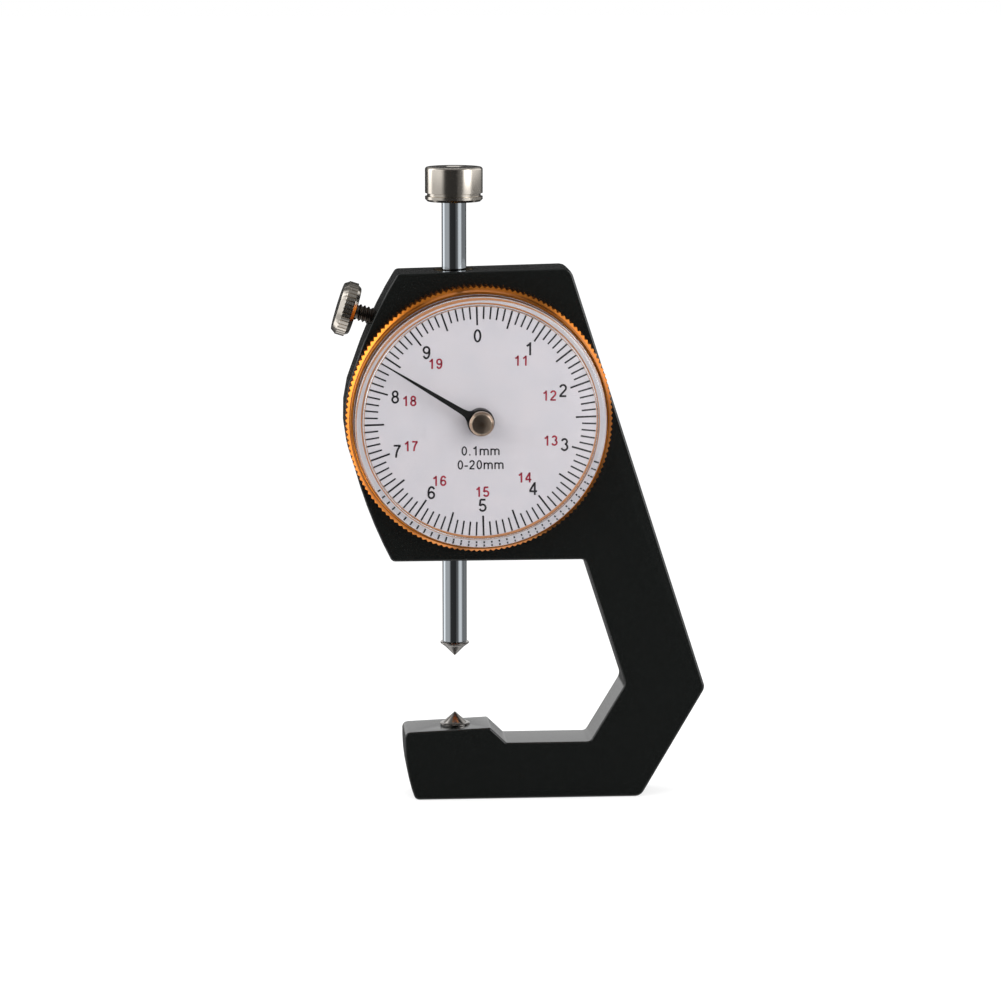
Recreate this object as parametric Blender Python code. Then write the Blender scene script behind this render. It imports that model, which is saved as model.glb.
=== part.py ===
# Dial thickness gauge: a cast C frame with a sprung spindle, a rack and pinion, a dial and a lock screw.
# It stands on the foot of its frame. X runs right, Y runs from the dial to the back, and Z runs up.
# The origin is where the spindle's axis meets the plane of the foot, at the frame's mid thickness.
# Heights of the turned and flat pieces of the dial are measured from mid thickness toward the reader.

import math

import bmesh
import bpy
from mathutils import Vector

mm = 0.001

# Clearances
running_gap = 0.09 * mm
seat_gap = 0.15 * mm
face_gap = 0.2 * mm
cut_overrun = 1.0 * mm

# Measuring range
reading_at_rest = 8.4 * mm
reading_range = 20.0 * mm
closed_tip_gap = 0.05 * mm
lift_per_turn = 10.0 * mm
pointer_rest_degrees = 58.6
dial_rest_degrees = 1.7

# Frame outline
frame_thickness = 8.5 * mm
frame_edge_round = 0.35 * mm
arm_left_reach = 7.65 * mm
arm_shoulder_drop = 1.98 * mm
arm_foot_reach = 6.1 * mm
arm_end_bow = 0.35 * mm
foot_right_step = 4.75 * mm
elbow_step = 14.25 * mm
elbow_height = 16.3 * mm
recess_height = 8.43 * mm
recess_left_reach = 7.4 * mm
recess_right_inset = 2.8 * mm
step_left_rise = 1.75 * mm
step_right_rise = 2.3 * mm
step_right_reach = 5.0 * mm
inner_elbow_step = 2.4 * mm
inner_elbow_rise = 8.63 * mm
throat_height = 27.34 * mm
throat_right_inset = 3.65 * mm
body_low_margin = 1.93 * mm
body_high_margin = 1.55 * mm
body_top_slope = 0.6 * mm
body_round_margin = 0.05 * mm
body_left_bow = 0.42 * mm
body_low_corner_reach = 9.4 * mm
body_top_left_reach = 8.4 * mm
body_top_right_inset = 5.9 * mm
body_round_low_degrees = 22.0
body_round_high_degrees = 24.0
large_corner_radius = 1.4 * mm
small_corner_radius = 0.8 * mm

# Spindle and rack
spindle_radius = 1.8 * mm
pinion_teeth = 12
rack_depth_to_pitch = 0.19 * mm
rack_tip_land = 0.04 * mm
rack_run_out = 0.9 * mm
tooth_backlash = 0.1 * mm
tooth_root_gap = 0.07 * mm
pinion_addendum = 0.19 * mm
pressure_degrees = 20.0
pinion_width = 2.6 * mm
cap_clear_height = 9.9 * mm
lifting_cap_radius = 4.2 * mm
lifting_cap_height = 5.0 * mm
lifting_cap_chamfer = 0.45 * mm
lifting_cap_groove = 0.3 * mm
lifting_cap_roof = 1.2 * mm

# Measuring tips
tip_cone_radius = 1.4 * mm
tip_bevel_radius = 1.95 * mm
tip_rim_radius = 2.12 * mm
tip_cone_height = 1.4 * mm
tip_bevel_height = 0.4 * mm
tip_rim_height = 0.35 * mm
tip_shank_radius = 0.7 * mm
tip_shank_length = 3.2 * mm
anvil_rim_radius = 2.2 * mm
anvil_rim_height = 0.3 * mm
anvil_cone_radius = 1.75 * mm
anvil_cone_height = 1.55 * mm
anvil_shank_radius = 1.2 * mm
anvil_shank_length = 3.8 * mm

# Body pocket, cover and bushes
web_thickness = 1.8 * mm
pocket_wall = 2.4 * mm
cover_lap = 3.0 * mm
cover_thickness = 0.8 * mm
cover_screw_count = 4
cover_screw_first_degrees = 45.0
screw_head_radius = 1.2 * mm
screw_head_height = 0.5 * mm
screw_shank_radius = 0.6 * mm
screw_length = 2.4 * mm
screw_slot_width = 0.3 * mm
screw_slot_depth = 0.22 * mm
bush_wall = 1.0 * mm
bush_end_gap = 0.15 * mm

# Pinion arbor and its cock
arbor_radius = 0.6 * mm
arbor_pivot_radius = 0.35 * mm
arbor_pivot_length = 0.8 * mm
arbor_bush_wall = 0.9 * mm
arbor_bush_flange = 2.2 * mm
arbor_bush_flange_height = 0.5 * mm
cock_thickness = 0.7 * mm
cock_spindle_clearance = 0.3 * mm
cock_reach = 6.5 * mm
cock_half_spread = 6.5 * mm
cock_end_radius = 2.0 * mm
pillar_radius = 1.7 * mm
pillar_head_height = 0.42 * mm
cock_screw_head_radius = 1.1 * mm
cock_screw_shank_radius = 0.5 * mm
cock_screw_length = 3.0 * mm

# Guide pin, guide plate and return spring
guide_pin_radius = 0.5 * mm
guide_pin_drop = 1.9 * mm
guide_pin_depth = 0.8 * mm
guide_pin_overhang = 0.55 * mm
guide_plate_reach = 3.3 * mm
guide_plate_thickness = 0.8 * mm
guide_slot_end_gap = 0.2 * mm
guide_plate_end_wall = 0.8 * mm
guide_plate_room = 0.825 * mm
guide_foot_inset = 5.4 * mm
guide_foot_thickness = 0.6 * mm
guide_foot_half_height = 4.4 * mm
guide_screw_inset = 0.8 * mm
guide_screw_half_spread = 2.6 * mm
guide_screw_head_radius = 0.75 * mm
guide_screw_head_height = 0.35 * mm
guide_screw_shank_radius = 0.35 * mm
guide_screw_length = 1.6 * mm
spring_plate_gap = 0.6 * mm
spring_coil_radius = 1.05 * mm
spring_wire_radius = 0.16 * mm
spring_curls = 14
spring_points_per_curl = 9
spring_hole_radius = 1.55 * mm
spring_post_radius = 0.5 * mm
spring_post_rise = 2.85 * mm
spring_post_depth = 2.0 * mm

# Dial, crystal and bezel
spigot_wall = 1.8 * mm
spigot_front = 7.2 * mm
bezel_knurl_wall = 0.9 * mm
bezel_knurl_depth = 0.42 * mm
bezel_teeth = 150
bezel_knurl_front = 7.45 * mm
bezel_back_chamfer = 0.25 * mm
bezel_neck_wall = 0.45 * mm
bezel_lip_wall = 0.25 * mm
bezel_lip_front = 9.2 * mm
bezel_seat_step = 1.9 * mm
bezel_shoulder = 7.6 * mm
snap_ring_depth = 0.6 * mm
snap_ring_thickness = 0.7 * mm
snap_ring_height = 5.6 * mm
snap_ring_mouth_degrees = 24.0
dial_front = 8.6 * mm
dial_hole_radius = 1.0 * mm
crystal_wall = 1.4 * mm
crystal_draft = 0.1 * mm
crystal_front = 14.0 * mm
crystal_bulge = 1.6 * mm
crystal_roof = 1.05 * mm
crystal_shoulder_radius = 0.8 * mm
crystal_corner = 0.3 * mm
pointer_hub_radius = 1.95 * mm
pointer_hub_height = 2.2 * mm
pointer_blade_thickness = 0.35 * mm
pointer_end_gap = 2.2 * mm
pointer_root_width = 1.25 * mm
pointer_tip_width = 0.2 * mm
pointer_cap_radius = 1.78 * mm
pointer_cap_height = 1.4 * mm
pointer_cap_chamfer = 0.22 * mm
pointer_cap_dimple = 0.3 * mm
arbor_end_length = 0.7 * mm

# Lock screw
lock_slope_degrees = 17.5
lock_entry_reach = 11.9 * mm
lock_entry_room = 0.1 * mm
lock_head_radius = 4.0 * mm
lock_head_thickness = 2.6 * mm
lock_head_chamfer = 0.35 * mm
lock_head_teeth = 36
lock_knurl_depth = 0.22 * mm
lock_thread_radius = 1.25 * mm
lock_thread_shown = 2.7 * mm
lock_pad_radius = 0.8 * mm
lock_pad_nose_length = 2.6 * mm
lock_pad_body_length = 2.4 * mm
lock_pad_clearance = 0.33 * mm

# Facets round a circle
large_steps = 60
dome_steps = 5
medium_steps = 32
small_steps = 24
tiny_steps = 12
corner_steps = 3
arc_steps = 5

# Movement, worked out from the travel
half_thickness = frame_thickness / 2
travel_down = reading_at_rest
travel_up = reading_range - reading_at_rest
pinion_pitch_radius = lift_per_turn / math.tau
rack_pitch = lift_per_turn / pinion_teeth
rack_pitch_line = spindle_radius - rack_depth_to_pitch
dial_axis_x = rack_pitch_line + pinion_pitch_radius
guide_slot_overlap = guide_pin_radius + guide_slot_end_gap
guide_plate_drop = guide_pin_drop + travel_down + guide_slot_overlap + guide_plate_end_wall
guide_plate_rise = travel_up - guide_pin_drop + guide_pin_radius - guide_slot_end_gap
guide_plate_half = max(guide_plate_drop, guide_plate_rise) + guide_plate_room
spring_reach = guide_plate_reach + spring_plate_gap + spring_hole_radius
guide_pin_reach = spring_reach + guide_pin_overhang

# Rings about the dial's axis, worked out from the pocket that the movement needs
pocket_radius = math.hypot(dial_axis_x + guide_plate_reach, guide_plate_half)
cover_radius = pocket_radius + cover_lap
cover_screw_circle = pocket_radius + cover_lap / 2
guide_foot_reach = pocket_radius - guide_foot_inset
guide_screw_reach = guide_foot_reach - guide_screw_inset
spigot_radius = pocket_radius + pocket_wall
bezel_seat_radius = spigot_radius + bezel_seat_step
bezel_lip_radius = bezel_seat_radius + bezel_lip_wall
bezel_neck_radius = bezel_seat_radius + bezel_neck_wall
bezel_radius = bezel_seat_radius + bezel_knurl_wall
body_round_radius = bezel_radius + body_round_margin
pointer_length = bezel_seat_radius - pointer_end_gap

# Frame, worked out from the bezel
bezel_right = dial_axis_x + bezel_radius
body_below_axis = bezel_radius + body_low_margin
body_above_axis = bezel_radius + body_high_margin
body_top_right_reach = bezel_right - body_top_right_inset
elbow_reach = bezel_right + elbow_step
inner_elbow_reach = bezel_right + inner_elbow_step
recess_right_reach = bezel_right - recess_right_inset
throat_right_reach = bezel_right - throat_right_inset
foot_length_right = bezel_right + foot_right_step
step_height = recess_height + (step_left_rise + step_right_rise) / 2
roof_height = recess_height + throat_height
dial_axis_z = roof_height + body_below_axis
body_top_at_spindle = dial_axis_z + body_above_axis + body_top_slope / 3
pocket_front = half_thickness - web_thickness
cover_seat = half_thickness - cover_thickness

# Spindle, spring and lock screw
anvil_apex = step_height + anvil_rim_height + anvil_cone_height + seat_gap
tip_apex = anvil_apex + reading_at_rest + closed_tip_gap
tip_seat = tip_apex + tip_cone_height + tip_bevel_height + tip_rim_height
spindle_foot = tip_seat + seat_gap
cap_foot = body_top_at_spindle + cap_clear_height
cap_hole_end = cap_foot + lifting_cap_height - lifting_cap_roof
spindle_head = cap_hole_end - face_gap
guide_pin_height = dial_axis_z - guide_pin_drop
spring_post_height = roof_height + spring_post_rise
lock_slope = math.radians(lock_slope_degrees)
lock_entry_z = dial_axis_z + pocket_radius + lock_entry_room
facing_front = (math.radians(90), 0, 0)
facing_back = (math.radians(-90), 0, 0)
facing_lock = (0, math.radians(90 + lock_slope_degrees), 0)
facing_up = (0, 0, 0)
facing_left = (0, math.radians(-90), 0)


# Scene and materials

def clear_scene():
    for old in list(bpy.data.objects):
        bpy.data.objects.remove(old)


def make_material(name, colour, roughness, metallic):
    material = bpy.data.materials.new(name)
    material.use_nodes = True
    shader = material.node_tree.nodes["Principled BSDF"]
    shader.inputs["Base Color"].default_value = (*colour, 1)
    shader.inputs["Roughness"].default_value = roughness
    shader.inputs["Metallic"].default_value = metallic
    return material


def black_paint():
    return make_material("black_paint", (0.012, 0.013, 0.012), 0.35, 0)


def polished_steel(name):
    return make_material(name, (0.62, 0.62, 0.6), 0.18, 1)


def brass(name):
    return make_material(name, (0.78, 0.57, 0.25), 0.3, 1)


# Mesh helpers

def add_object(name, mesh_data, material, place, turn):
    thing = bpy.data.objects.new(name, mesh_data)
    bpy.context.scene.collection.objects.link(thing)
    thing.location = place
    thing.rotation_euler = turn
    if material is not None:
        mesh_data.materials.append(material)
    return thing


def finish_mesh(name, shape):
    bmesh.ops.recalc_face_normals(shape, faces=shape.faces)
    mesh_data = bpy.data.meshes.new(name)
    shape.to_mesh(mesh_data)
    shape.free()
    mesh_data.shade_smooth()
    mesh_data.set_sharp_from_angle(angle=math.radians(32))
    return mesh_data


def turned(name, profile, material, place, turn, steps, closed=False):
    shape = bmesh.new()
    points = [shape.verts.new((radius, 0, height)) for radius, height in profile]
    edges = [shape.edges.new(pair) for pair in zip(points, points[1:])]
    if closed:
        edges.append(shape.edges.new((points[-1], points[0])))
    bmesh.ops.spin(shape, geom=points + edges, cent=(0, 0, 0), axis=(0, 0, 1), angle=math.tau,
                   steps=steps, use_merge=True)
    bmesh.ops.remove_doubles(shape, verts=shape.verts, dist=running_gap / 1000)
    return add_object(name, finish_mesh(name, shape), material, place, turn)


def prism(name, outline, low, high, material, place, turn):
    shape = bmesh.new()
    base = shape.faces.new([shape.verts.new((x, y, low)) for x, y in outline])
    extruded = bmesh.ops.extrude_face_region(shape, geom=[base])
    raised = [item for item in extruded["geom"] if isinstance(item, bmesh.types.BMVert)]
    bmesh.ops.translate(shape, verts=raised, vec=(0, 0, high - low))
    return add_object(name, finish_mesh(name, shape), material, place, turn)


def box_outline(left, right, low, high):
    return [(left, low), (right, low), (right, high), (left, high)]


def hide_tool(tool):
    tool.hide_render = True
    tool.display_type = "WIRE"


def combine(target, tool, operation):
    step = target.modifiers.new(tool.name, "BOOLEAN")
    step.operation = operation
    step.solver = "EXACT"
    step.object = tool
    hide_tool(tool)


def cut(target, tool):
    combine(target, tool, "DIFFERENCE")


def unite(target, tool):
    combine(target, tool, "UNION")


def hole_tool(name, radius, low, high, place, turn, steps=small_steps):
    return turned(name, [(0, high), (radius, high), (radius, low), (0, low)], None, place, turn, steps)


def drill(target, name, radius, low, high, place, turn, steps=small_steps):
    cut(target, hole_tool(name, radius, low, high, place, turn, steps))


def joined_tool(name, tools):
    bpy.context.view_layer.update()
    shape = bmesh.new()
    for tool in tools:
        tool.data.transform(tool.matrix_world)
        shape.from_mesh(tool.data)
        bpy.data.objects.remove(tool)
    return add_object(name, finish_mesh(name, shape), None, (0, 0, 0), facing_up)


def cut_together(target, name, tools):
    cut(target, joined_tool(name, tools))
    target.modifiers[-1].use_self = True


# Outline helpers

def point_on_circle(centre, radius, degrees):
    angle = math.radians(degrees)
    return (centre[0] + radius * math.cos(angle), centre[1] + radius * math.sin(angle))


def circle_points(centre, radius, first_degrees, last_degrees, steps):
    span = last_degrees - first_degrees
    return [point_on_circle(centre, radius, first_degrees + span * step / steps) for step in range(steps + 1)]


def bowed_points(start, end, bow, steps):
    first = Vector(start)
    chord = Vector(end) - first
    side = Vector((chord.y, -chord.x)).normalized()
    points = []
    for step in range(1, steps):
        share = step / steps
        points.append(tuple(first + chord * share + side * bow * 4 * share * (1 - share)))
    return points


def rounded_corner(before, corner, after, radius):
    here = Vector(corner)
    back = (Vector(before) - here).normalized()
    ahead = (Vector(after) - here).normalized()
    half_angle = back.angle(ahead) / 2
    centre = here + (back + ahead).normalized() * radius / math.sin(half_angle)
    first = here + back * radius / math.tan(half_angle) - centre
    last = here + ahead * radius / math.tan(half_angle) - centre
    sweep = math.remainder(math.atan2(last.y, last.x) - math.atan2(first.y, first.x), math.tau)
    start = math.atan2(first.y, first.x)
    points = []
    for step in range(corner_steps + 1):
        angle = start + sweep * step / corner_steps
        points.append((centre.x + radius * math.cos(angle), centre.y + radius * math.sin(angle)))
    return points


def rounded_outline(corners):
    points = []
    for index, (corner, radius) in enumerate(corners):
        before = corners[index - 1][0]
        after = corners[(index + 1) % len(corners)][0]
        if radius == 0:
            points.append(corner)
        else:
            points.extend(rounded_corner(before, corner, after, radius))
    return points


def plain(points):
    return [(point, 0) for point in points]


def knurl_outline(teeth, tip_radius, depth):
    points = []
    for tooth in range(teeth):
        middle = 360 * tooth / teeth
        points.append(point_on_circle((0, 0), tip_radius, middle))
        points.append(point_on_circle((0, 0), tip_radius - depth, middle + 180 / teeth))
    return points


# Frame

def frame_outline():
    axis = (dial_axis_x, dial_axis_z)
    round_low = 180 + body_round_low_degrees
    round_high = 180 - body_round_high_degrees
    low_corner = (-body_low_corner_reach, roof_height)
    top_corner = (-body_top_left_reach, dial_axis_z + body_above_axis)
    round_start = point_on_circle(axis, body_round_radius, round_low)
    round_end = point_on_circle(axis, body_round_radius, round_high)
    arm_foot = (-arm_foot_reach, 0)
    arm_top = recess_height + step_left_rise
    arm_shoulder = (-arm_left_reach, arm_top - arm_shoulder_drop)
    corners = [(arm_foot, small_corner_radius)]
    corners += plain(bowed_points(arm_foot, arm_shoulder, -arm_end_bow, arc_steps))
    corners += [
        (arm_shoulder, 0),
        ((-arm_left_reach, arm_top), small_corner_radius),
        ((step_right_reach, recess_height + step_right_rise), small_corner_radius / 2),
        ((recess_left_reach, recess_height), small_corner_radius / 2),
        ((recess_right_reach, recess_height), small_corner_radius),
        ((inner_elbow_reach, recess_height + inner_elbow_rise), large_corner_radius),
        ((throat_right_reach, roof_height), small_corner_radius),
        (low_corner, small_corner_radius),
    ]
    corners += plain(bowed_points(low_corner, round_start, -body_left_bow, arc_steps))
    corners += plain(circle_points(axis, body_round_radius, round_low, round_high, arc_steps))
    corners += plain(bowed_points(round_end, top_corner, -body_left_bow, arc_steps))
    corners += [
        (top_corner, small_corner_radius),
        ((body_top_right_reach, dial_axis_z + body_above_axis + body_top_slope), large_corner_radius),
        ((elbow_reach, elbow_height), large_corner_radius),
        ((foot_length_right, 0), large_corner_radius),
    ]
    return rounded_outline(corners)


def add_spigot(frame):
    groove_radius = spigot_radius - snap_ring_depth
    groove_low = snap_ring_height - face_gap
    groove_high = snap_ring_height + snap_ring_thickness + face_gap
    inner_radius = spigot_radius - spigot_wall
    profile = [
        (inner_radius, spigot_front),
        (spigot_radius, spigot_front),
        (spigot_radius, groove_high),
        (groove_radius, groove_high),
        (groove_radius, groove_low),
        (spigot_radius, groove_low),
        (spigot_radius, pocket_front + web_thickness / 2),
        (inner_radius, pocket_front + web_thickness / 2),
    ]
    unite(frame, turned("spigot_ring", profile, None, dial_axis, facing_front, large_steps, closed=True))


def pillar_places():
    return [(dial_axis_x + cock_reach, 0, dial_axis_z + side * cock_half_spread) for side in (1, -1)]


def cock_back():
    return spindle_radius + cock_spindle_clearance


def hollow_body(frame):
    rebate = cover_radius + seat_gap
    outside = -half_thickness - cut_overrun
    profile = [(0, pocket_front), (pocket_radius, pocket_front), (pocket_radius, -cover_seat),
               (rebate, -cover_seat), (rebate, outside), (0, outside)]
    hollow = turned("hollow", profile, None, dial_axis, facing_front, large_steps)
    for number, place in enumerate(pillar_places(), 1):
        drill(hollow, f"pillar_{number}", pillar_radius, seat_gap - cock_back(), pocket_front + cut_overrun, place,
              facing_front)
    cut(frame, hollow)


def frame_bores():
    bush_bore = spindle_radius + running_gap + bush_wall + seat_gap
    pocket_edge = math.sqrt(pocket_radius ** 2 - (dial_axis_x + bush_bore) ** 2)
    return [
        hole_tool("lower_bore", bush_bore, roof_height - cut_overrun, dial_axis_z - pocket_edge + cut_overrun,
                  (0, 0, 0), facing_up),
        hole_tool("upper_bore", bush_bore, dial_axis_z + pocket_edge - cut_overrun,
                  body_top_at_spindle + cut_overrun, (0, 0, 0), facing_up),
        hole_tool("arbor_bush_hole", arbor_radius + running_gap + arbor_bush_wall + seat_gap,
                  pocket_front - cut_overrun, half_thickness + cut_overrun, dial_axis, facing_front),
        hole_tool("anvil_socket", anvil_shank_radius + seat_gap, step_height - anvil_shank_length - face_gap,
                  step_height + cut_overrun, (0, 0, 0), facing_up),
        hole_tool("lock_hole", lock_thread_radius + running_gap, -lock_thread_shown / 2,
                  lock_entry_reach / math.cos(lock_slope) - spindle_radius, lock_origin, facing_lock),
        hole_tool("spring_hole", spring_hole_radius, spring_post_height - spring_post_radius - face_gap,
                  dial_axis_z - guide_pin_reach, (-spring_reach, 0, 0), facing_up),
        hole_tool("spring_post_hole", spring_post_radius + running_gap, -half_thickness - cut_overrun,
                  spring_post_depth + face_gap, (-spring_reach, 0, spring_post_height), facing_front, tiny_steps),
    ]


def frame_screw_holes():
    tools = []
    for place in pillar_places():
        tools.append(hole_tool("pillar_hole", cock_screw_shank_radius + running_gap, -cock_back() - cut_overrun,
                               cock_screw_length - cock_back() - cock_thickness + face_gap, place, facing_front,
                               tiny_steps))
    for place in cover_screw_places():
        tools.append(hole_tool("cover_screw_hole", screw_shank_radius + running_gap, -cover_seat - cut_overrun,
                               screw_length - half_thickness + face_gap, place, facing_front, tiny_steps))
    for place in guide_screw_places():
        tools.append(hole_tool("guide_screw_hole", guide_screw_shank_radius + running_gap,
                               pocket_front - cut_overrun, pocket_front + guide_screw_length - guide_foot_thickness,
                               place, facing_front, tiny_steps))
    return tools


def make_frame():
    frame = prism("frame", frame_outline(), -half_thickness, half_thickness, black_paint(), (0, 0, 0),
                  facing_front)
    edge = frame.modifiers.new("edge_round", "BEVEL")
    edge.width = frame_edge_round
    edge.segments = 2
    edge.limit_method = "ANGLE"
    edge.angle_limit = math.radians(60)
    add_spigot(frame)
    hollow_body(frame)
    cut_together(frame, "frame_holes", frame_bores() + frame_screw_holes())


# Back cover and its screws

def cover_screw_places():
    places = []
    for number in range(cover_screw_count):
        degrees = cover_screw_first_degrees + 360 * number / cover_screw_count
        x, z = point_on_circle((dial_axis_x, dial_axis_z), cover_screw_circle, degrees)
        places.append((x, 0, z))
    return places


def countersunk_profile(grow):
    head = screw_head_radius + grow
    shank = screw_shank_radius + grow
    neck = half_thickness - screw_head_height
    return [(0, half_thickness), (head, half_thickness), (shank, neck)]


def make_cover():
    cover = turned("rear_cover", [(0, half_thickness), (cover_radius, half_thickness),
                                  (cover_radius, cover_seat + seat_gap), (0, cover_seat + seat_gap)],
                   make_material("satin_aluminium", (0.55, 0.55, 0.56), 0.4, 1), dial_axis, facing_back, large_steps)
    for number, place in enumerate(cover_screw_places(), 1):
        profile = countersunk_profile(seat_gap)
        shank = screw_shank_radius + seat_gap
        profile = [(0, half_thickness + cut_overrun), (profile[1][0], half_thickness + cut_overrun)] + profile[1:]
        profile += [(shank, cover_seat - cut_overrun), (0, cover_seat - cut_overrun)]
        cut(cover, turned(f"countersink_{number}", profile, None, place, facing_back, tiny_steps))


def cut_slot(screw, name, radius, head_top, place, turn):
    outline = box_outline(-radius - cut_overrun, radius + cut_overrun, -screw_slot_width / 2, screw_slot_width / 2)
    cut(screw, prism(name, outline, head_top - screw_slot_depth, head_top + cut_overrun, None, place, turn))


def make_cover_screws():
    for number, place in enumerate(cover_screw_places(), 1):
        tip = half_thickness - screw_length
        profile = countersunk_profile(0) + [(screw_shank_radius, tip), (0, tip)]
        screw = turned(f"rear_cover_screw_{number}", profile, polished_steel(f"screw_steel_{number}"), place,
                       facing_back, tiny_steps)
        cut_slot(screw, f"cover_screw_slot_{number}", screw_head_radius, half_thickness, place, facing_back)


# Spindle, bushes and tips

def make_bush(name, low, high):
    inner = spindle_radius + running_gap
    outer = inner + bush_wall
    turned(name, [(inner, high), (outer, high), (outer, low), (inner, low)], brass(name + "_brass"), (0, 0, 0),
           facing_up, small_steps, closed=True)


def make_bushes():
    pocket_reach = math.sqrt(pocket_radius ** 2 - dial_axis_x ** 2)
    make_bush("lower_bush", roof_height + bush_end_gap, dial_axis_z - pocket_reach - bush_end_gap)
    make_bush("upper_bush", dial_axis_z + pocket_reach + bush_end_gap, body_top_at_spindle - 2 * bush_end_gap)


def rack_outline():
    tip_x = spindle_radius - rack_tip_land
    root_x = rack_pitch_line - pinion_addendum - tooth_root_gap
    slope = math.tan(math.radians(pressure_degrees))
    tooth_half = (rack_pitch - tooth_backlash) / 4
    tip_half = tooth_half - (tip_x - rack_pitch_line) * slope
    root_half = tooth_half + (rack_pitch_line - root_x) * slope
    low_gaps = math.ceil((travel_up + rack_run_out) / rack_pitch)
    high_gaps = math.ceil((travel_down + rack_run_out) / rack_pitch)
    points = []
    for gap in range(-low_gaps, high_gaps + 1):
        middle = dial_axis_z + gap * rack_pitch
        points.append((tip_x, middle - rack_pitch / 2 + tip_half))
        points.append((root_x, middle - rack_pitch / 2 + root_half))
        points.append((root_x, middle + rack_pitch / 2 - root_half))
        points.append((tip_x, middle + rack_pitch / 2 - tip_half))
    points.append((spindle_radius + cut_overrun, points[-1][1]))
    points.append((spindle_radius + cut_overrun, points[0][1]))
    return points


def make_spindle():
    profile = [(0, spindle_head), (spindle_radius, spindle_head), (spindle_radius, spindle_foot), (0, spindle_foot)]
    spindle = turned("spindle", profile, polished_steel("spindle_steel"), (0, 0, 0), facing_up, medium_steps)
    half_width = spindle_radius + cut_overrun
    cut(spindle, prism("rack_gaps", rack_outline(), -half_width, half_width, None, (0, 0, 0), facing_front))
    drill(spindle, "tip_hole", tip_shank_radius + running_gap, spindle_foot - cut_overrun,
          tip_seat + tip_shank_length + face_gap, (0, 0, 0), facing_up, tiny_steps)
    drill(spindle, "guide_pin_hole", guide_pin_radius + running_gap, -guide_pin_depth - face_gap,
          spindle_radius + cut_overrun, (0, 0, guide_pin_height), facing_left, tiny_steps)


def make_contact_tip():
    bevel_top = tip_apex + tip_cone_height + tip_bevel_height
    profile = [
        (0, tip_seat + tip_shank_length),
        (tip_shank_radius, tip_seat + tip_shank_length),
        (tip_shank_radius, tip_seat),
        (tip_rim_radius, tip_seat),
        (tip_bevel_radius, bevel_top),
        (tip_cone_radius, tip_apex + tip_cone_height),
        (0, tip_apex),
    ]
    turned("contact_tip", profile, polished_steel("contact_tip_steel"), (0, 0, 0), facing_up, small_steps)


def make_anvil_tip():
    rim_low = anvil_apex - anvil_cone_height - anvil_rim_height
    rim_high = anvil_apex - anvil_cone_height
    profile = [
        (0, anvil_apex),
        (anvil_cone_radius, rim_high),
        (anvil_rim_radius, rim_high - anvil_rim_height / 2),
        (anvil_rim_radius, rim_low),
        (anvil_shank_radius, rim_low),
        (anvil_shank_radius, step_height - anvil_shank_length),
        (0, step_height - anvil_shank_length),
    ]
    turned("anvil_tip", profile, polished_steel("anvil_tip_steel"), (0, 0, 0), facing_up, small_steps)


def make_lifting_cap():
    top = cap_foot + lifting_cap_height
    groove = lifting_cap_radius - lifting_cap_groove
    hole = spindle_radius + running_gap
    profile = [
        (0, top),
        (lifting_cap_radius - lifting_cap_chamfer, top),
        (lifting_cap_radius, top - lifting_cap_chamfer),
        (lifting_cap_radius, cap_foot + 3 * lifting_cap_chamfer),
        (groove, cap_foot + 2.5 * lifting_cap_chamfer),
        (groove, cap_foot + 1.5 * lifting_cap_chamfer),
        (lifting_cap_radius, cap_foot + lifting_cap_chamfer),
        (lifting_cap_radius - lifting_cap_chamfer, cap_foot),
        (hole, cap_foot),
        (hole, cap_hole_end),
        (0, cap_hole_end),
    ]
    turned("lifting_cap", profile, polished_steel("lifting_cap_steel"), (0, 0, 0), facing_up, medium_steps)


# Guide pin, guide plate, spring and post

def make_guide_pin():
    profile = [(0, guide_pin_reach), (guide_pin_radius, guide_pin_reach), (guide_pin_radius, -guide_pin_depth),
               (0, -guide_pin_depth)]
    turned("guide_pin", profile, polished_steel("guide_pin_steel"), (0, 0, guide_pin_height), facing_left,
           tiny_steps)


def guide_screw_places():
    middle = guide_pin_height + (travel_up - travel_down) / 2
    return [(-guide_screw_reach, 0, middle + side * guide_screw_half_spread) for side in (1, -1)]


def make_guide_plate():
    plate_low = dial_axis_z - guide_plate_drop
    plate_high = dial_axis_z + guide_plate_rise
    slot_low = plate_low + guide_plate_end_wall
    middle = guide_pin_height + (travel_up - travel_down) / 2
    front = pocket_front - seat_gap
    plate = prism("guide_plate",
                  box_outline(-guide_plate_reach, -guide_plate_reach + guide_plate_thickness, plate_low, plate_high),
                  -spindle_radius, front, polished_steel("guide_plate_steel"), (0, 0, 0), facing_front)
    foot = box_outline(-guide_foot_reach, -guide_plate_reach + guide_plate_thickness / 2,
                       middle - guide_foot_half_height, middle + guide_foot_half_height)
    unite(plate, prism("guide_foot", foot, front - guide_foot_thickness, front, None, (0, 0, 0), facing_front))
    slot = box_outline(-guide_plate_reach - seat_gap, -guide_plate_reach + guide_plate_thickness + seat_gap,
                       slot_low, plate_high + cut_overrun)
    slot_half = guide_pin_radius + running_gap
    cut(plate, prism("guide_slot", slot, -slot_half, slot_half, None, (0, 0, 0), facing_front))
    for number, place in enumerate(guide_screw_places(), 1):
        drill(plate, f"guide_foot_hole_{number}", guide_screw_shank_radius + running_gap,
              front - guide_foot_thickness - cut_overrun, front + cut_overrun, place, facing_front, tiny_steps)


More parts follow.
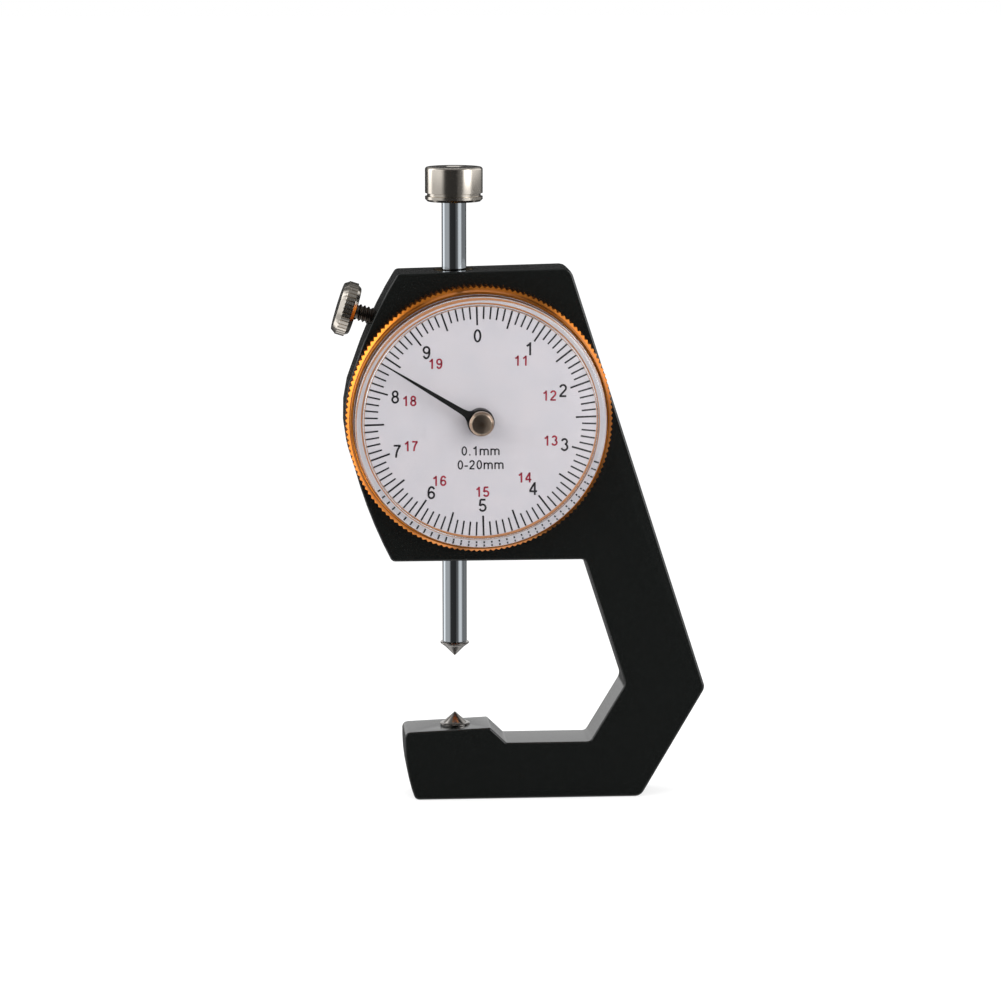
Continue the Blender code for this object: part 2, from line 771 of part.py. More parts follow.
def make_guide_screws():
    seat = pocket_front - seat_gap - guide_foot_thickness - running_gap
    top = seat - guide_screw_head_height
    end = seat + guide_screw_length - face_gap
    for number, place in enumerate(guide_screw_places(), 1):
        profile = [(0, -top), (guide_screw_head_radius, -top), (guide_screw_head_radius, -seat),
                   (guide_screw_shank_radius, -seat), (guide_screw_shank_radius, -end), (0, -end)]
        turned(f"guide_screw_{number}", profile, polished_steel(f"guide_screw_steel_{number}"), place, facing_back,
               tiny_steps)


def spring_points():
    low = spring_post_height + spring_post_radius + face_gap
    high = guide_pin_height - guide_pin_radius - face_gap
    stub = 2 * spring_wire_radius
    rise = high - low - 2 * stub
    count = spring_curls * spring_points_per_curl
    points = [(spring_coil_radius, 0, low)]
    for step in range(count + 1):
        angle = math.tau * step / spring_points_per_curl
        height = low + stub + rise * step / count
        points.append((spring_coil_radius * math.cos(angle), spring_coil_radius * math.sin(angle), height))
    points.append((spring_coil_radius, 0, high))
    return points


def least_spring_gap(points):
    nearest = spring_points_per_curl // 2
    least = min((Vector(first) - Vector(second)).length
                for index, first in enumerate(points) for second in points[index + nearest:])
    return least - 2 * spring_wire_radius


def make_return_spring():
    points = spring_points()
    wire = bpy.data.curves.new("return_spring", "CURVE")
    wire.dimensions = "3D"
    wire.bevel_depth = spring_wire_radius
    wire.bevel_resolution = 1
    wire.use_fill_caps = True
    path = wire.splines.new("POLY")
    path.points.add(len(points) - 1)
    for point, place in zip(path.points, points):
        point.co = (*place, 1)
    add_object("return_spring", wire, polished_steel("spring_steel"), (-spring_reach, 0, 0), facing_up)
    print("least gap between the spring's curls, mm:", round(least_spring_gap(points) / mm, 3))


def make_spring_post():
    profile = [(0, spring_post_depth), (spring_post_radius, spring_post_depth),
               (spring_post_radius, -half_thickness + frame_edge_round),
               (0, -half_thickness + frame_edge_round)]
    turned("spring_post", profile, polished_steel("spring_post_steel"), (-spring_reach, 0, spring_post_height),
           facing_front, tiny_steps)


# Pinion, arbor bush and cock

def involute(angle):
    return math.tan(angle) - angle


def pinion_outline():
    pressure = math.radians(pressure_degrees)
    base = pinion_pitch_radius * math.cos(pressure)
    root = pinion_pitch_radius - (spindle_radius - rack_tip_land - rack_pitch_line) - tooth_root_gap
    tip = pinion_pitch_radius + pinion_addendum
    half_at_pitch = (rack_pitch - tooth_backlash) / (4 * pinion_pitch_radius)
    flank = [(root, half_at_pitch + involute(pressure))]
    for radius in (base, pinion_pitch_radius, tip):
        angle = math.acos(min(1, base / radius))
        flank.append((radius, half_at_pitch + involute(pressure) - involute(angle)))
    points = []
    for tooth in range(pinion_teeth):
        middle = math.pi + math.tau * tooth / pinion_teeth
        for radius, half in flank:
            points.append((radius * math.cos(middle - half), radius * math.sin(middle - half)))
        for radius, half in reversed(flank):
            points.append((radius * math.cos(middle + half), radius * math.sin(middle + half)))
    return points


def make_pinion_arbor():
    back = -cock_back() + running_gap
    front = hub_front + arbor_end_length
    profile = [
        (0, front),
        (arbor_radius, front),
        (arbor_radius, back),
        (arbor_pivot_radius, back),
        (arbor_pivot_radius, back - arbor_pivot_length),
        (0, back - arbor_pivot_length),
    ]
    arbor = turned("pinion_arbor", profile, polished_steel("arbor_steel"), dial_axis, facing_front, tiny_steps)
    unite(arbor, prism("pinion_leaves", pinion_outline(), -pinion_width / 2, pinion_width / 2, None, dial_axis,
                       facing_front))


def make_arbor_bush():
    inner = arbor_radius + running_gap
    outer = inner + arbor_bush_wall
    flange_low = half_thickness + seat_gap
    profile = [
        (inner, flange_low + arbor_bush_flange_height),
        (arbor_bush_flange, flange_low + arbor_bush_flange_height),
        (arbor_bush_flange, flange_low),
        (outer, flange_low),
        (outer, pocket_front),
        (inner, pocket_front),
    ]
    turned("arbor_bush", profile, brass("arbor_bush_brass"), dial_axis, facing_front, small_steps, closed=True)


def make_cock():
    outline = rounded_outline([
        ((-2 * cock_end_radius, 0), cock_end_radius),
        ((cock_reach - cock_end_radius / 2, -cock_half_spread - 1.5 * cock_end_radius), cock_end_radius),
        ((cock_reach + 1.5 * cock_end_radius, -cock_half_spread), cock_end_radius),
        ((cock_reach + 1.5 * cock_end_radius, cock_half_spread), cock_end_radius),
        ((cock_reach - cock_end_radius / 2, cock_half_spread + 1.5 * cock_end_radius), cock_end_radius),
    ])
    low = -cock_back() - cock_thickness
    cock = prism("pinion_cock", outline, low, -cock_back(), brass("cock_brass"), dial_axis, facing_front)
    drill(cock, "pivot_hole", arbor_pivot_radius + running_gap, low - cut_overrun, cut_overrun, dial_axis,
          facing_front, tiny_steps)
    for number, place in enumerate(pillar_places(), 1):
        drill(cock, f"cock_hole_{number}", cock_screw_shank_radius + running_gap, low - cut_overrun, cut_overrun,
              place, facing_front, tiny_steps)


def make_cock_screws():
    seat = cock_back() + cock_thickness + running_gap
    top = seat + pillar_head_height
    end = seat - cock_screw_length
    for number, place in enumerate(pillar_places(), 1):
        profile = [(0, top), (cock_screw_head_radius, top), (cock_screw_head_radius, seat),
                   (cock_screw_shank_radius, seat), (cock_screw_shank_radius, end), (0, end)]
        screw = turned(f"cock_screw_{number}", profile, polished_steel(f"cock_screw_steel_{number}"), place,
                       facing_back, tiny_steps)
        cut_slot(screw, f"cock_screw_slot_{number}", cock_screw_head_radius, top, place, facing_back)


# Bezel, snap ring, dial plate, crystal and pointer

def make_bezel():
    back = half_thickness + face_gap
    bore = spigot_radius + face_gap
    groove = bore + snap_ring_depth
    groove_low = snap_ring_height - face_gap
    groove_high = snap_ring_height + snap_ring_thickness + face_gap
    profile = [
        (bezel_seat_radius, bezel_lip_front),
        (bezel_lip_radius, bezel_lip_front),
        (bezel_neck_radius, bezel_knurl_front),
        (bezel_radius, bezel_knurl_front - bezel_back_chamfer),
        (bezel_radius, back + bezel_back_chamfer),
        (bezel_radius - bezel_knurl_depth, back),
        (bore, back),
        (bore, groove_low),
        (groove, groove_low),
        (groove, groove_high),
        (bore, groove_high),
        (bore, bezel_shoulder),
        (bezel_seat_radius, bezel_shoulder),
    ]
    bezel = turned("bezel", profile, make_material("gold_anodised", (0.85, 0.42, 0.06), 0.25, 1), dial_axis,
                   facing_front, large_steps, closed=True)
    inner = knurl_outline(bezel_teeth, bezel_radius + running_gap, bezel_knurl_depth)
    knurl = prism("bezel_knurl", inner, back - cut_overrun, bezel_lip_front + cut_overrun, None, dial_axis,
                  facing_front)
    combine(bezel, knurl, "INTERSECT")


def make_snap_ring():
    inner = spigot_radius - snap_ring_depth + seat_gap
    outer = spigot_radius + face_gap + snap_ring_depth - seat_gap
    first = 270 + snap_ring_mouth_degrees / 2
    last = 270 + 360 - snap_ring_mouth_degrees / 2
    steps = large_steps * 2 // 3
    outline = circle_points((0, 0), outer, first, last, steps)
    outline += reversed(circle_points((0, 0), inner, first, last, steps))
    prism("bezel_snap_ring", outline, snap_ring_height, snap_ring_height + snap_ring_thickness,
          polished_steel("snap_ring_steel"), dial_axis, facing_front)


def make_dial_plate():
    radius = bezel_seat_radius - face_gap
    low = bezel_shoulder + seat_gap
    turned("dial_plate", [(dial_hole_radius, dial_front), (radius, dial_front), (radius, low),
                          (dial_hole_radius, low)],
           make_material("dial_silver", (0.58, 0.56, 0.58), 0.5, 0), dial_axis, facing_front, large_steps,
           closed=True)


def dome_points(edge, apex, steps):
    radius, low = edge
    return [(radius * step / steps, apex - (apex - low) * (step / steps) ** 2) for step in range(steps + 1)]


def make_crystal():
    outer = bezel_seat_radius - seat_gap
    inner = outer - crystal_wall
    foot = dial_front + seat_gap
    rim = crystal_front - crystal_bulge
    ceiling = rim - crystal_roof
    centre = (outer - crystal_draft - crystal_shoulder_radius, rim - crystal_shoulder_radius)
    inner_edge = (inner - crystal_draft - crystal_corner, ceiling)
    profile = dome_points((centre[0], rim), crystal_front, dome_steps)[:-1]
    profile += reversed(circle_points(centre, crystal_shoulder_radius, 0, 90, 4))
    profile += [(outer, foot), (inner, foot), (inner - crystal_draft, ceiling - crystal_corner)]
    profile += reversed(dome_points(inner_edge, crystal_front - crystal_roof, dome_steps))
    turned("crystal", profile, make_material("clear_acrylic", (0.9, 0.92, 0.93), 0.05, 0), dial_axis, facing_front,
           large_steps)


def blade_outline():
    root = pointer_hub_radius - pointer_blade_thickness
    neck = pointer_hub_radius + pointer_root_width
    return [
        (-pointer_root_width, root / 2),
        (-pointer_root_width / 2, neck),
        (-pointer_tip_width / 2, pointer_length),
        (pointer_tip_width / 2, pointer_length),
        (pointer_root_width / 2, neck),
        (pointer_root_width, root / 2),
    ]


def make_pointer():
    hole = arbor_radius + running_gap
    turn = (facing_front[0], -math.radians(pointer_rest_degrees), 0)
    profile = [(hole, hub_front), (pointer_hub_radius, hub_front), (pointer_hub_radius, hub_back), (hole, hub_back)]
    pointer = turned("pointer", profile, make_material("pointer_black", (0.01, 0.01, 0.01), 0.4, 0), dial_axis,
                     facing_front, small_steps, closed=True)
    blade = prism("pointer_blade", blade_outline(), hub_front - pointer_blade_thickness, hub_front, None, dial_axis,
                  turn)
    unite(pointer, blade)
    drill(pointer, "pointer_hole", hole, hub_back - cut_overrun, hub_front + cut_overrun, dial_axis, facing_front)


def make_pointer_cap():
    low = hub_front + running_gap
    top = low + pointer_cap_height
    hole = arbor_radius + running_gap
    hole_end = hub_front + arbor_end_length + running_gap
    profile = [
        (0, top - pointer_cap_dimple / 2),
        (pointer_cap_dimple, top),
        (pointer_cap_radius - pointer_cap_chamfer, top),
        (pointer_cap_radius, top - pointer_cap_chamfer),
        (pointer_cap_radius, low),
        (hole, low),
        (hole, hole_end),
        (0, hole_end),
    ]
    turned("pointer_cap", profile, polished_steel("pointer_cap_steel"), dial_axis, facing_front, small_steps)


# Lock screw and pad

def lock_pad_end():
    return (lock_entry_reach - spindle_radius - lock_pad_clearance - lock_pad_radius * math.sin(lock_slope)) \
        / math.cos(lock_slope)


def make_lock_screw():
    inner_face = -lock_thread_shown
    outer_face = inner_face - lock_head_thickness
    end = lock_pad_end() - lock_pad_nose_length - lock_pad_body_length - running_gap
    profile = [
        (0, end),
        (lock_thread_radius, end),
        (lock_thread_radius, inner_face),
        (lock_head_radius - lock_head_chamfer, inner_face),
        (lock_head_radius, inner_face - lock_head_chamfer),
        (lock_head_radius, outer_face + lock_head_chamfer),
        (lock_head_radius - lock_head_chamfer, outer_face),
        (0, outer_face),
    ]
    screw = turned("lock_screw", profile, polished_steel("lock_screw_steel"), lock_origin, facing_lock, medium_steps)
    outline = knurl_outline(lock_head_teeth, lock_head_radius + running_gap, lock_knurl_depth)
    knurl = prism("lock_knurl", outline, outer_face - cut_overrun, end + cut_overrun, None, lock_origin, facing_lock)
    combine(screw, knurl, "INTERSECT")


def make_lock_pad():
    end = lock_pad_end()
    shoulder = end - lock_pad_nose_length
    back = shoulder - lock_pad_body_length
    profile = [(0, end), (lock_pad_radius, end), (lock_pad_radius, shoulder), (lock_thread_radius, shoulder),
               (lock_thread_radius, back), (0, back)]
    turned("lock_pad", profile, brass("lock_pad_brass"), lock_origin, facing_lock, small_steps)


dial_axis = (dial_axis_x, 0, dial_axis_z)
lock_origin = (-lock_entry_reach, 0, lock_entry_z)
hub_back = dial_front + face_gap
hub_front = hub_back + pointer_hub_height

clear_scene()
make_frame()
make_cover()
make_cover_screws()
make_bushes()
make_spindle()
make_contact_tip()
make_anvil_tip()
make_lifting_cap()
make_guide_pin()
make_guide_plate()
make_guide_screws()
make_return_spring()
make_spring_post()
make_pinion_arbor()
make_arbor_bush()
make_cock()
make_cock_screws()
make_bezel()
make_snap_ring()
make_dial_plate()
make_crystal()
make_pointer()
make_pointer_cap()
make_lock_screw()
make_lock_pad()
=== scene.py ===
import math

import bmesh
import bpy
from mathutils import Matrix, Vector


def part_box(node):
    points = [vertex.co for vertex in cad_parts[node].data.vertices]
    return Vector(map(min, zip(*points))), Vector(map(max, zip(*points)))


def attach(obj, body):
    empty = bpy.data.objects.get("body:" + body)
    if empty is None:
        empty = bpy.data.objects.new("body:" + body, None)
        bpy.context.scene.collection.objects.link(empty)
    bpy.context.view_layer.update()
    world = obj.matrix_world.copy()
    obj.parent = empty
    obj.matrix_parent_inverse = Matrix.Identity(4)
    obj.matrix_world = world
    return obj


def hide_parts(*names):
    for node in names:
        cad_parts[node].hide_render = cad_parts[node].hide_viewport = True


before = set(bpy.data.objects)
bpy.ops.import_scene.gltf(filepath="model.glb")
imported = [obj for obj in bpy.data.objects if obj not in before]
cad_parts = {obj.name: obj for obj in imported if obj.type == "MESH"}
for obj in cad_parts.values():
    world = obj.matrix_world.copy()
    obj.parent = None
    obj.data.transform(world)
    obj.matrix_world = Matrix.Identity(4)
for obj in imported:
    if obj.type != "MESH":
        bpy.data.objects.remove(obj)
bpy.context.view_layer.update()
mm = 0.001
crystalLow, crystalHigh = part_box("crystal")
dialX = (crystalLow.x + crystalHigh.x) / 2
dialZ = (crystalLow.z + crystalHigh.z) / 2
dialAxis = (dialX, 0, dialZ)
towardReader = (math.radians(90), 0, 0)
upright = (0, 0, 0)
print("frame loaded", len(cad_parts), "nodes")


# Colours and nodes

def hexColour(code):
    channels = [int(code[start:start + 2], 16) / 255 for start in (1, 3, 5)]
    linear = [c / 12.92 if c <= 0.04045 else ((c + 0.055) / 1.055) ** 2.4 for c in channels]
    return (*linear, 1)


def addNode(tree, kind, settings=None, links=None, feeds=None):
    # settings are properties or socket values, links bring values in, and feeds lead this node's outputs on
    node = tree.nodes.new(kind)
    for name, value in (settings or {}).items():
        if isinstance(name, int) or name in node.inputs:
            node.inputs[name].default_value = value
        else:
            setattr(node, name, value)
    for name, source in (links or {}).items():
        tree.links.new(source, node.inputs[name])
    for name, target in (feeds or {}).items():
        tree.links.new(node.outputs[name], target)
    return node


def startMaterial(name, colour, settings):
    material = bpy.data.materials.new(name)
    material.use_nodes = True
    tree = material.node_tree
    shader = tree.nodes["Principled BSDF"]
    shader.inputs["Base Color"].default_value = hexColour(colour)
    for key, value in settings.items():
        shader.inputs[key].default_value = value
    return material, tree, shader


# noise from smooth to fine, and the middle of its values, which shades and roughness are spread over
smoothNoise = {"Detail": 1.0, "Roughness": 0.6}
softNoise = {"Detail": 2.0, "Roughness": 0.6}
fineNoise = {"Detail": 3.0, "Roughness": 0.6}
noiseMiddle = {"From Min": 0.3, "From Max": 0.7}


# Baked semi gloss enamel on a zinc casting: near black, with orange peel and a fine dusty grain
enamelLook = {
    "colour": "#0d0f0e", "dark": "#0a0c0b", "pale": "#131514", "shadesFrom": 0.45, "shadesTo": 0.75,
    "peel": 1.1 * mm, "grain": 0.12 * mm, "grainShare": 0.35, "bump": 0.35, "depth": 0.02 * mm,
    "rough": 0.2, "roughLow": 0.16, "roughHigh": 0.28,
}


def makeEnamel():
    look = enamelLook
    material, tree, shader = startMaterial("bakedEnamel", look["colour"], {"Roughness": look["rough"]})
    place = addNode(tree, "ShaderNodeTexCoord").outputs["Object"]
    peel = addNode(tree, "ShaderNodeTexNoise", {**smoothNoise, "Scale": 1 / look["peel"]},
            {"Vector": place})
    grain = addNode(tree, "ShaderNodeTexNoise",
            {**fineNoise, "Scale": 1 / look["grain"]}, {"Vector": place}).outputs["Fac"]
    both = addNode(tree, "ShaderNodeMath", {"operation": "MULTIPLY_ADD", 1: look["grainShare"]},
            {0: grain, 2: peel.outputs["Fac"]})
    addNode(tree, "ShaderNodeBump", {"Strength": look["bump"], "Distance": look["depth"]},
            {"Height": both.outputs[0]}, {"Normal": shader.inputs["Normal"]})
    share = addNode(tree, "ShaderNodeMapRange",
            {"From Min": look["shadesFrom"], "From Max": look["shadesTo"]}, {"Value": grain})
    addNode(tree, "ShaderNodeMix",
            {"data_type": "RGBA", 6: hexColour(look["dark"]), 7: hexColour(look["pale"])},
            {0: share.outputs["Result"]}, {2: shader.inputs["Base Color"]})
    addNode(tree, "ShaderNodeMapRange",
            {**noiseMiddle, "To Min": look["roughLow"], "To Max": look["roughHigh"]},
            {"Value": grain}, {"Result": shader.inputs["Roughness"]})
    return material


# Bright dipped and gold anodised aluminium: a deep orange gold with faint turning lines
goldLook = {
    "colour": "#f0902f", "dark": "#ee8a2b", "pale": "#f49638", "rough": 0.28, "line": 0.07 * mm, "bump": 0.12,
    "depth": 0.01 * mm, "stain": 3.0 * mm,
}


def makeGold():
    look = goldLook
    material, tree, shader = startMaterial("goldAnodisedAluminium", look["colour"],
                                           {"Metallic": 1.0, "Roughness": look["rough"]})
    place = addNode(tree, "ShaderNodeTexCoord").outputs["Object"]
    centred = addNode(tree, "ShaderNodeMapping", {"Location": (-dialX, 0, -dialZ)}, {"Vector": place})
    flat = addNode(tree, "ShaderNodeVectorMath", {"operation": "MULTIPLY", 1: (1, 0, 1)},
            {0: centred.outputs["Vector"]})
    reach = addNode(tree, "ShaderNodeVectorMath", {"operation": "LENGTH"}, {0: flat.outputs["Vector"]})
    lines = addNode(tree, "ShaderNodeTexNoise",
            {"noise_dimensions": "1D", "Scale": 1 / look["line"], "Detail": 1.0},
            {"W": reach.outputs["Value"]})
    addNode(tree, "ShaderNodeBump", {"Strength": look["bump"], "Distance": look["depth"]},
            {"Height": lines.outputs["Fac"]}, {"Normal": shader.inputs["Normal"]})
    stain = addNode(tree, "ShaderNodeTexNoise",
            {**softNoise, "Scale": 1 / look["stain"]}, {"Vector": place})
    share = addNode(tree, "ShaderNodeMapRange", noiseMiddle, {"Value": stain.outputs["Fac"]})
    addNode(tree, "ShaderNodeMix",
            {"data_type": "RGBA", 6: hexColour(look["dark"]), 7: hexColour(look["pale"])},
            {0: share.outputs["Result"]}, {2: shader.inputs["Base Color"]})
    return material


# the marks' strength, and how much smoother and rougher than its look a metal gets in them
markLook = {"bump": 0.2, "smoother": 0.8, "rougher": 1.3}
# Metals that were turned, ground, drawn or plated, with fine marks: colour, roughness, size of one mark,
# how closely the marks follow one another along each axis, and their depth
metalLooks = {
    "groundSteel": ("#b4babf", 0.07, 0.2 * mm, (1, 1, 0.2), 0.001 * mm),  # ground rod: nearly a mirror
    "turnedTipSteel": ("#94908c", 0.2, 0.15 * mm, (0.3, 0.3, 3), 0.003 * mm),  # hardened: grey, ringed
    "turnedCapSteel": ("#cbb6a2", 0.17, 0.1 * mm, (1, 1, 1), 0.0008 * mm),  # lapped: warm and even
    "brightNickel": ("#c9c2b8", 0.16, 0.2 * mm, (1, 1, 1), 0.003 * mm),  # plated: a warm white
    "plainScrewSteel": ("#9b9c9d", 0.3, 0.15 * mm, (1, 1, 1), 0.004 * mm),  # bare: a soft grey shine
    "drawnWireSteel": ("#8c8d90", 0.3, 0.1 * mm, (1, 1, 1), 0.003 * mm),  # drawn: darker and dull
    "darkThreadSteel": ("#6d655f", 0.3, 0.1 * mm, (1, 1, 1), 0.003 * mm),  # a dark brown grey, darker than the plated head
    "turnedBrass": ("#c9a052", 0.25, 0.12 * mm, (0.4, 0.4, 2), 0.003 * mm),  # yellow, ringed
    "brushedAluminium": ("#a9abad", 0.44, 0.12 * mm, (0.03, 1, 1), 0.0016 * mm),  # satin, with long streaks
}


def makeMetal(name, colour, roughness, grain, stretch, depth):
    material, tree, shader = startMaterial(name, colour, {"Metallic": 1.0, "Roughness": roughness})
    place = addNode(tree, "ShaderNodeTexCoord").outputs["Object"]
    drawn = addNode(tree, "ShaderNodeMapping", {"Scale": stretch}, {"Vector": place})
    marks = addNode(tree, "ShaderNodeTexNoise", {**fineNoise, "Scale": 1 / grain},
            {"Vector": drawn.outputs["Vector"]}).outputs["Fac"]
    addNode(tree, "ShaderNodeBump", {"Strength": markLook["bump"], "Distance": depth}, {"Height": marks},
            {"Normal": shader.inputs["Normal"]})
    smooth, rough = roughness * markLook["smoother"], roughness * markLook["rougher"]
    addNode(tree, "ShaderNodeMapRange", {**noiseMiddle, "To Min": smooth, "To Max": rough},
            {"Value": marks}, {"Result": shader.inputs["Roughness"]})
    return material


# Cast and polished acrylic: clear, with a faint cool edge; shadow rays pass, so that the dial is lit
acrylicLook = {"colour": "#ffffff", "passing": "#f6f8f8", "index": 1.49}


def makeAcrylic():
    look = acrylicLook
    settings = {"Roughness": 0.0, "IOR": look["index"], "Transmission Weight": 1.0}
    material, tree, shader = startMaterial("clearAcrylic", look["colour"], settings)
    path = addNode(tree, "ShaderNodeLightPath")
    passing = addNode(tree, "ShaderNodeBsdfTransparent", {"Color": hexColour(look["passing"])})
    addNode(tree, "ShaderNodeMixShader", None,
            {0: path.outputs["Is Shadow Ray"], 1: shader.outputs["BSDF"], 2: passing.outputs["BSDF"]},
            {"Shader": tree.nodes["Material Output"].inputs["Surface"]})
    return material


# Matt coats: even, with a fine tooth
inkLook = {"settings": {"Roughness": 0.5}, "tooth": 0.15 * mm, "bump": 0.05, "depth": 0.01 * mm}
# the dial's lacquer has a soft mottle of two shades as well
lacquerLook = {
    "settings": {"Roughness": 0.55}, "tooth": 0.1 * mm, "bump": 0.05, "depth": 0.01 * mm, "mottle": 4.0 * mm,
    "dark": "#cdc9cf", "pale": "#d3cdd2",
}


def makeCoat(name, colour, look):
    material, tree, shader = startMaterial(name, colour, look["settings"])
    place = addNode(tree, "ShaderNodeTexCoord").outputs["Object"]
    tooth = addNode(tree, "ShaderNodeTexNoise", {**softNoise, "Scale": 1 / look["tooth"]},
            {"Vector": place})
    addNode(tree, "ShaderNodeBump", {"Strength": look["bump"], "Distance": look["depth"]},
            {"Height": tooth.outputs["Fac"]}, {"Normal": shader.inputs["Normal"]})
    if "mottle" in look:
        mottle = addNode(tree, "ShaderNodeTexNoise", {**softNoise, "Scale": 1 / look["mottle"]},
                {"Vector": place})
        share = addNode(tree, "ShaderNodeMapRange", noiseMiddle, {"Value": mottle.outputs["Fac"]})
        addNode(tree, "ShaderNodeMix",
                {"data_type": "RGBA", 6: hexColour(look["dark"]), 7: hexColour(look["pale"])},
                {0: share.outputs["Result"]}, {2: shader.inputs["Base Color"]})
    return material


enamel = makeEnamel()
gold = makeGold()
metals = {name: makeMetal(name, *look) for name, look in metalLooks.items()}
acrylic = makeAcrylic()
dialLacquer = makeCoat("dialLacquer", "#cfcad0", lacquerLook)  # lacquered aluminium sheet: a silver grey
blackInk = makeCoat("blackScreenInk", "#1a171c", inkLook)  # screen ink: a soft black
redInk = makeCoat("crimsonScreenInk", "#a3243a", inkLook)  # screen ink: a deep red
bezelReflectionInk = makeCoat("paintedBezelReflection", "#bd7f52", inkLook)  # painted reflection of the gold bezel, in a dull copper brown
pointerLacquer = makeCoat("pointerLacquer", "#0b0b0c", inkLook)  # brushed lacquer: blacker than the ink
print("materials made")


# Modelling helpers

shopLook = {
    "weld": 0.0005 * mm, "ringReach": 0.002 * mm, "cadWeld": 0.001 * mm, "flatDegrees": 0.6,
    "edgeDegrees": 35,
}


def startClean():
    if bpy.context.mode != "OBJECT":
        bpy.ops.object.mode_set(mode="OBJECT")
    bpy.ops.object.select_all(action="DESELECT")


def makeActive(piece):
    startClean()
    piece.select_set(True)
    bpy.context.view_layer.objects.active = piece


def settlePiece(piece, place, turn):
    # the place goes into the mesh, and the object stays at the origin
    makeActive(piece)
    piece.rotation_euler = turn
    piece.location = place
    bpy.ops.object.transform_apply()


def selectVertices(piece, wanted):
    # in edit mode: the vertices whose place passes the test, and what lies between them
    bpy.ops.mesh.select_all(action="DESELECT")
    mesh = bmesh.from_edit_mesh(piece.data)
    for vertex in mesh.verts:
        vertex.select = wanted(vertex.co)
    mesh.select_flush(True)
    bmesh.update_edit_mesh(piece.data)


def selectRing(piece, radius, height):
    def isNear(co):
        near = shopLook["ringReach"]
        return abs(math.hypot(co.x, co.y) - radius) < near and abs(co.z - height) < near

    selectVertices(piece, isNear)


def turnedPiece(name, profile, segments, place=(0, 0, 0), turn=upright, closed=False):
    # a ring is extruded from point to point of the profile, as a lathe tool would go
    startClean()
    points = list(profile)
    startPole = points.pop(0) if points[0][0] == 0 else None
    radius, height = points[0]
    bpy.ops.mesh.primitive_circle_add(vertices=segments, radius=radius, location=(0, 0, 0))
    piece = bpy.context.object
    piece.name = name
    bpy.ops.object.mode_set(mode="EDIT")
    bpy.ops.mesh.select_all(action="SELECT")
    bpy.ops.transform.translate(value=(0, 0, height))
    for nextRadius, nextHeight in points[1:]:
        bpy.ops.mesh.extrude_region_move(TRANSFORM_OT_translate={"value": (0, 0, nextHeight - height)})
        share = nextRadius / radius
        bpy.ops.transform.resize(value=(share, share, 1), center_override=(0, 0, nextHeight))
        radius, height = nextRadius, nextHeight
    if startPole:
        firstRadius, firstHeight = points[0]
        selectRing(piece, firstRadius, firstHeight)
        bpy.ops.mesh.extrude_region_move(TRANSFORM_OT_translate={"value": (0, 0, startPole[1] - firstHeight)})
        bpy.ops.transform.resize(value=(0, 0, 1), center_override=(0, 0, startPole[1]))
    bpy.ops.mesh.select_all(action="SELECT")
    bpy.ops.mesh.remove_doubles(threshold=shopLook["weld"])
    if closed:
        bpy.ops.mesh.select_all(action="DESELECT")
        bpy.ops.mesh.select_non_manifold()
        bpy.ops.mesh.bridge_edge_loops()
    bpy.ops.mesh.select_all(action="SELECT")
    bpy.ops.mesh.normals_make_consistent(inside=False)
    bpy.ops.object.mode_set(mode="OBJECT")
    settlePiece(piece, place, turn)
    return piece


def inMetres(points):
    # corners of a profile, which the settings hold in millimetres
    return [(first * mm, second * mm) for first, second in points]


def arcProfile(centre, radius, first, last, steps):
    points = []
    for step in range(steps + 1):
        angle = math.radians(first + (last - first) * step / steps)
        points.append((centre[0] + radius * math.cos(angle), centre[1] + radius * math.sin(angle)))
    return points


def smoothPiece(piece, degrees):
    makeActive(piece)
    bpy.ops.object.shade_smooth_by_angle(angle=math.radians(degrees))


def applyModifier(piece, kind, settings):
    makeActive(piece)
    modifier = piece.modifiers.new(kind.lower(), kind)
    for key, value in settings.items():
        setattr(modifier, key, value)
    bpy.ops.object.modifier_apply(modifier=modifier.name)


def dressPiece(piece, body, material, nodes=()):
    piece.data.materials.clear()
    piece.data.materials.append(material)
    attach(piece, body)
    if nodes:
        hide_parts(*nodes)


def mergedCopy(node, name):
    # a CAD node's loose triangles are copied and merged, so that its faces can be shaded as one skin
    startClean()
    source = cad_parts[node]
    piece = bpy.data.objects.new(name, source.data.copy())
    bpy.context.scene.collection.objects.link(piece)
    makeActive(piece)
    bpy.ops.object.mode_set(mode="EDIT")
    bpy.ops.mesh.select_all(action="SELECT")
    bpy.ops.mesh.remove_doubles(threshold=shopLook["cadWeld"])
    bpy.ops.mesh.dissolve_limited(angle_limit=math.radians(shopLook["flatDegrees"]))
    bpy.ops.mesh.normals_make_consistent(inside=False)
    bpy.ops.object.mode_set(mode="OBJECT")
    return piece


def joinPieces(pieces, name):
    startClean()
    for piece in pieces:
        piece.select_set(True)
    bpy.context.view_layer.objects.active = pieces[0]
    bpy.ops.object.join()
    pieces[0].name = name
    return pieces[0]


# Frame, bushes and cover

frameLook = {"smoothDegrees": 50, "edgeWeight": 50, "copyDegrees": 32, "copyWeight": 100, "coverScrews": 4}


def makeFrameCasting():
    look = frameLook
    casting = mergedCopy("frame", "frameCasting")
    smoothPiece(casting, look["smoothDegrees"])
    applyModifier(casting, "WEIGHTED_NORMAL", {"keep_sharp": True, "weight": look["edgeWeight"]})
    dressPiece(casting, "frame_body", enamel, ["frame"])


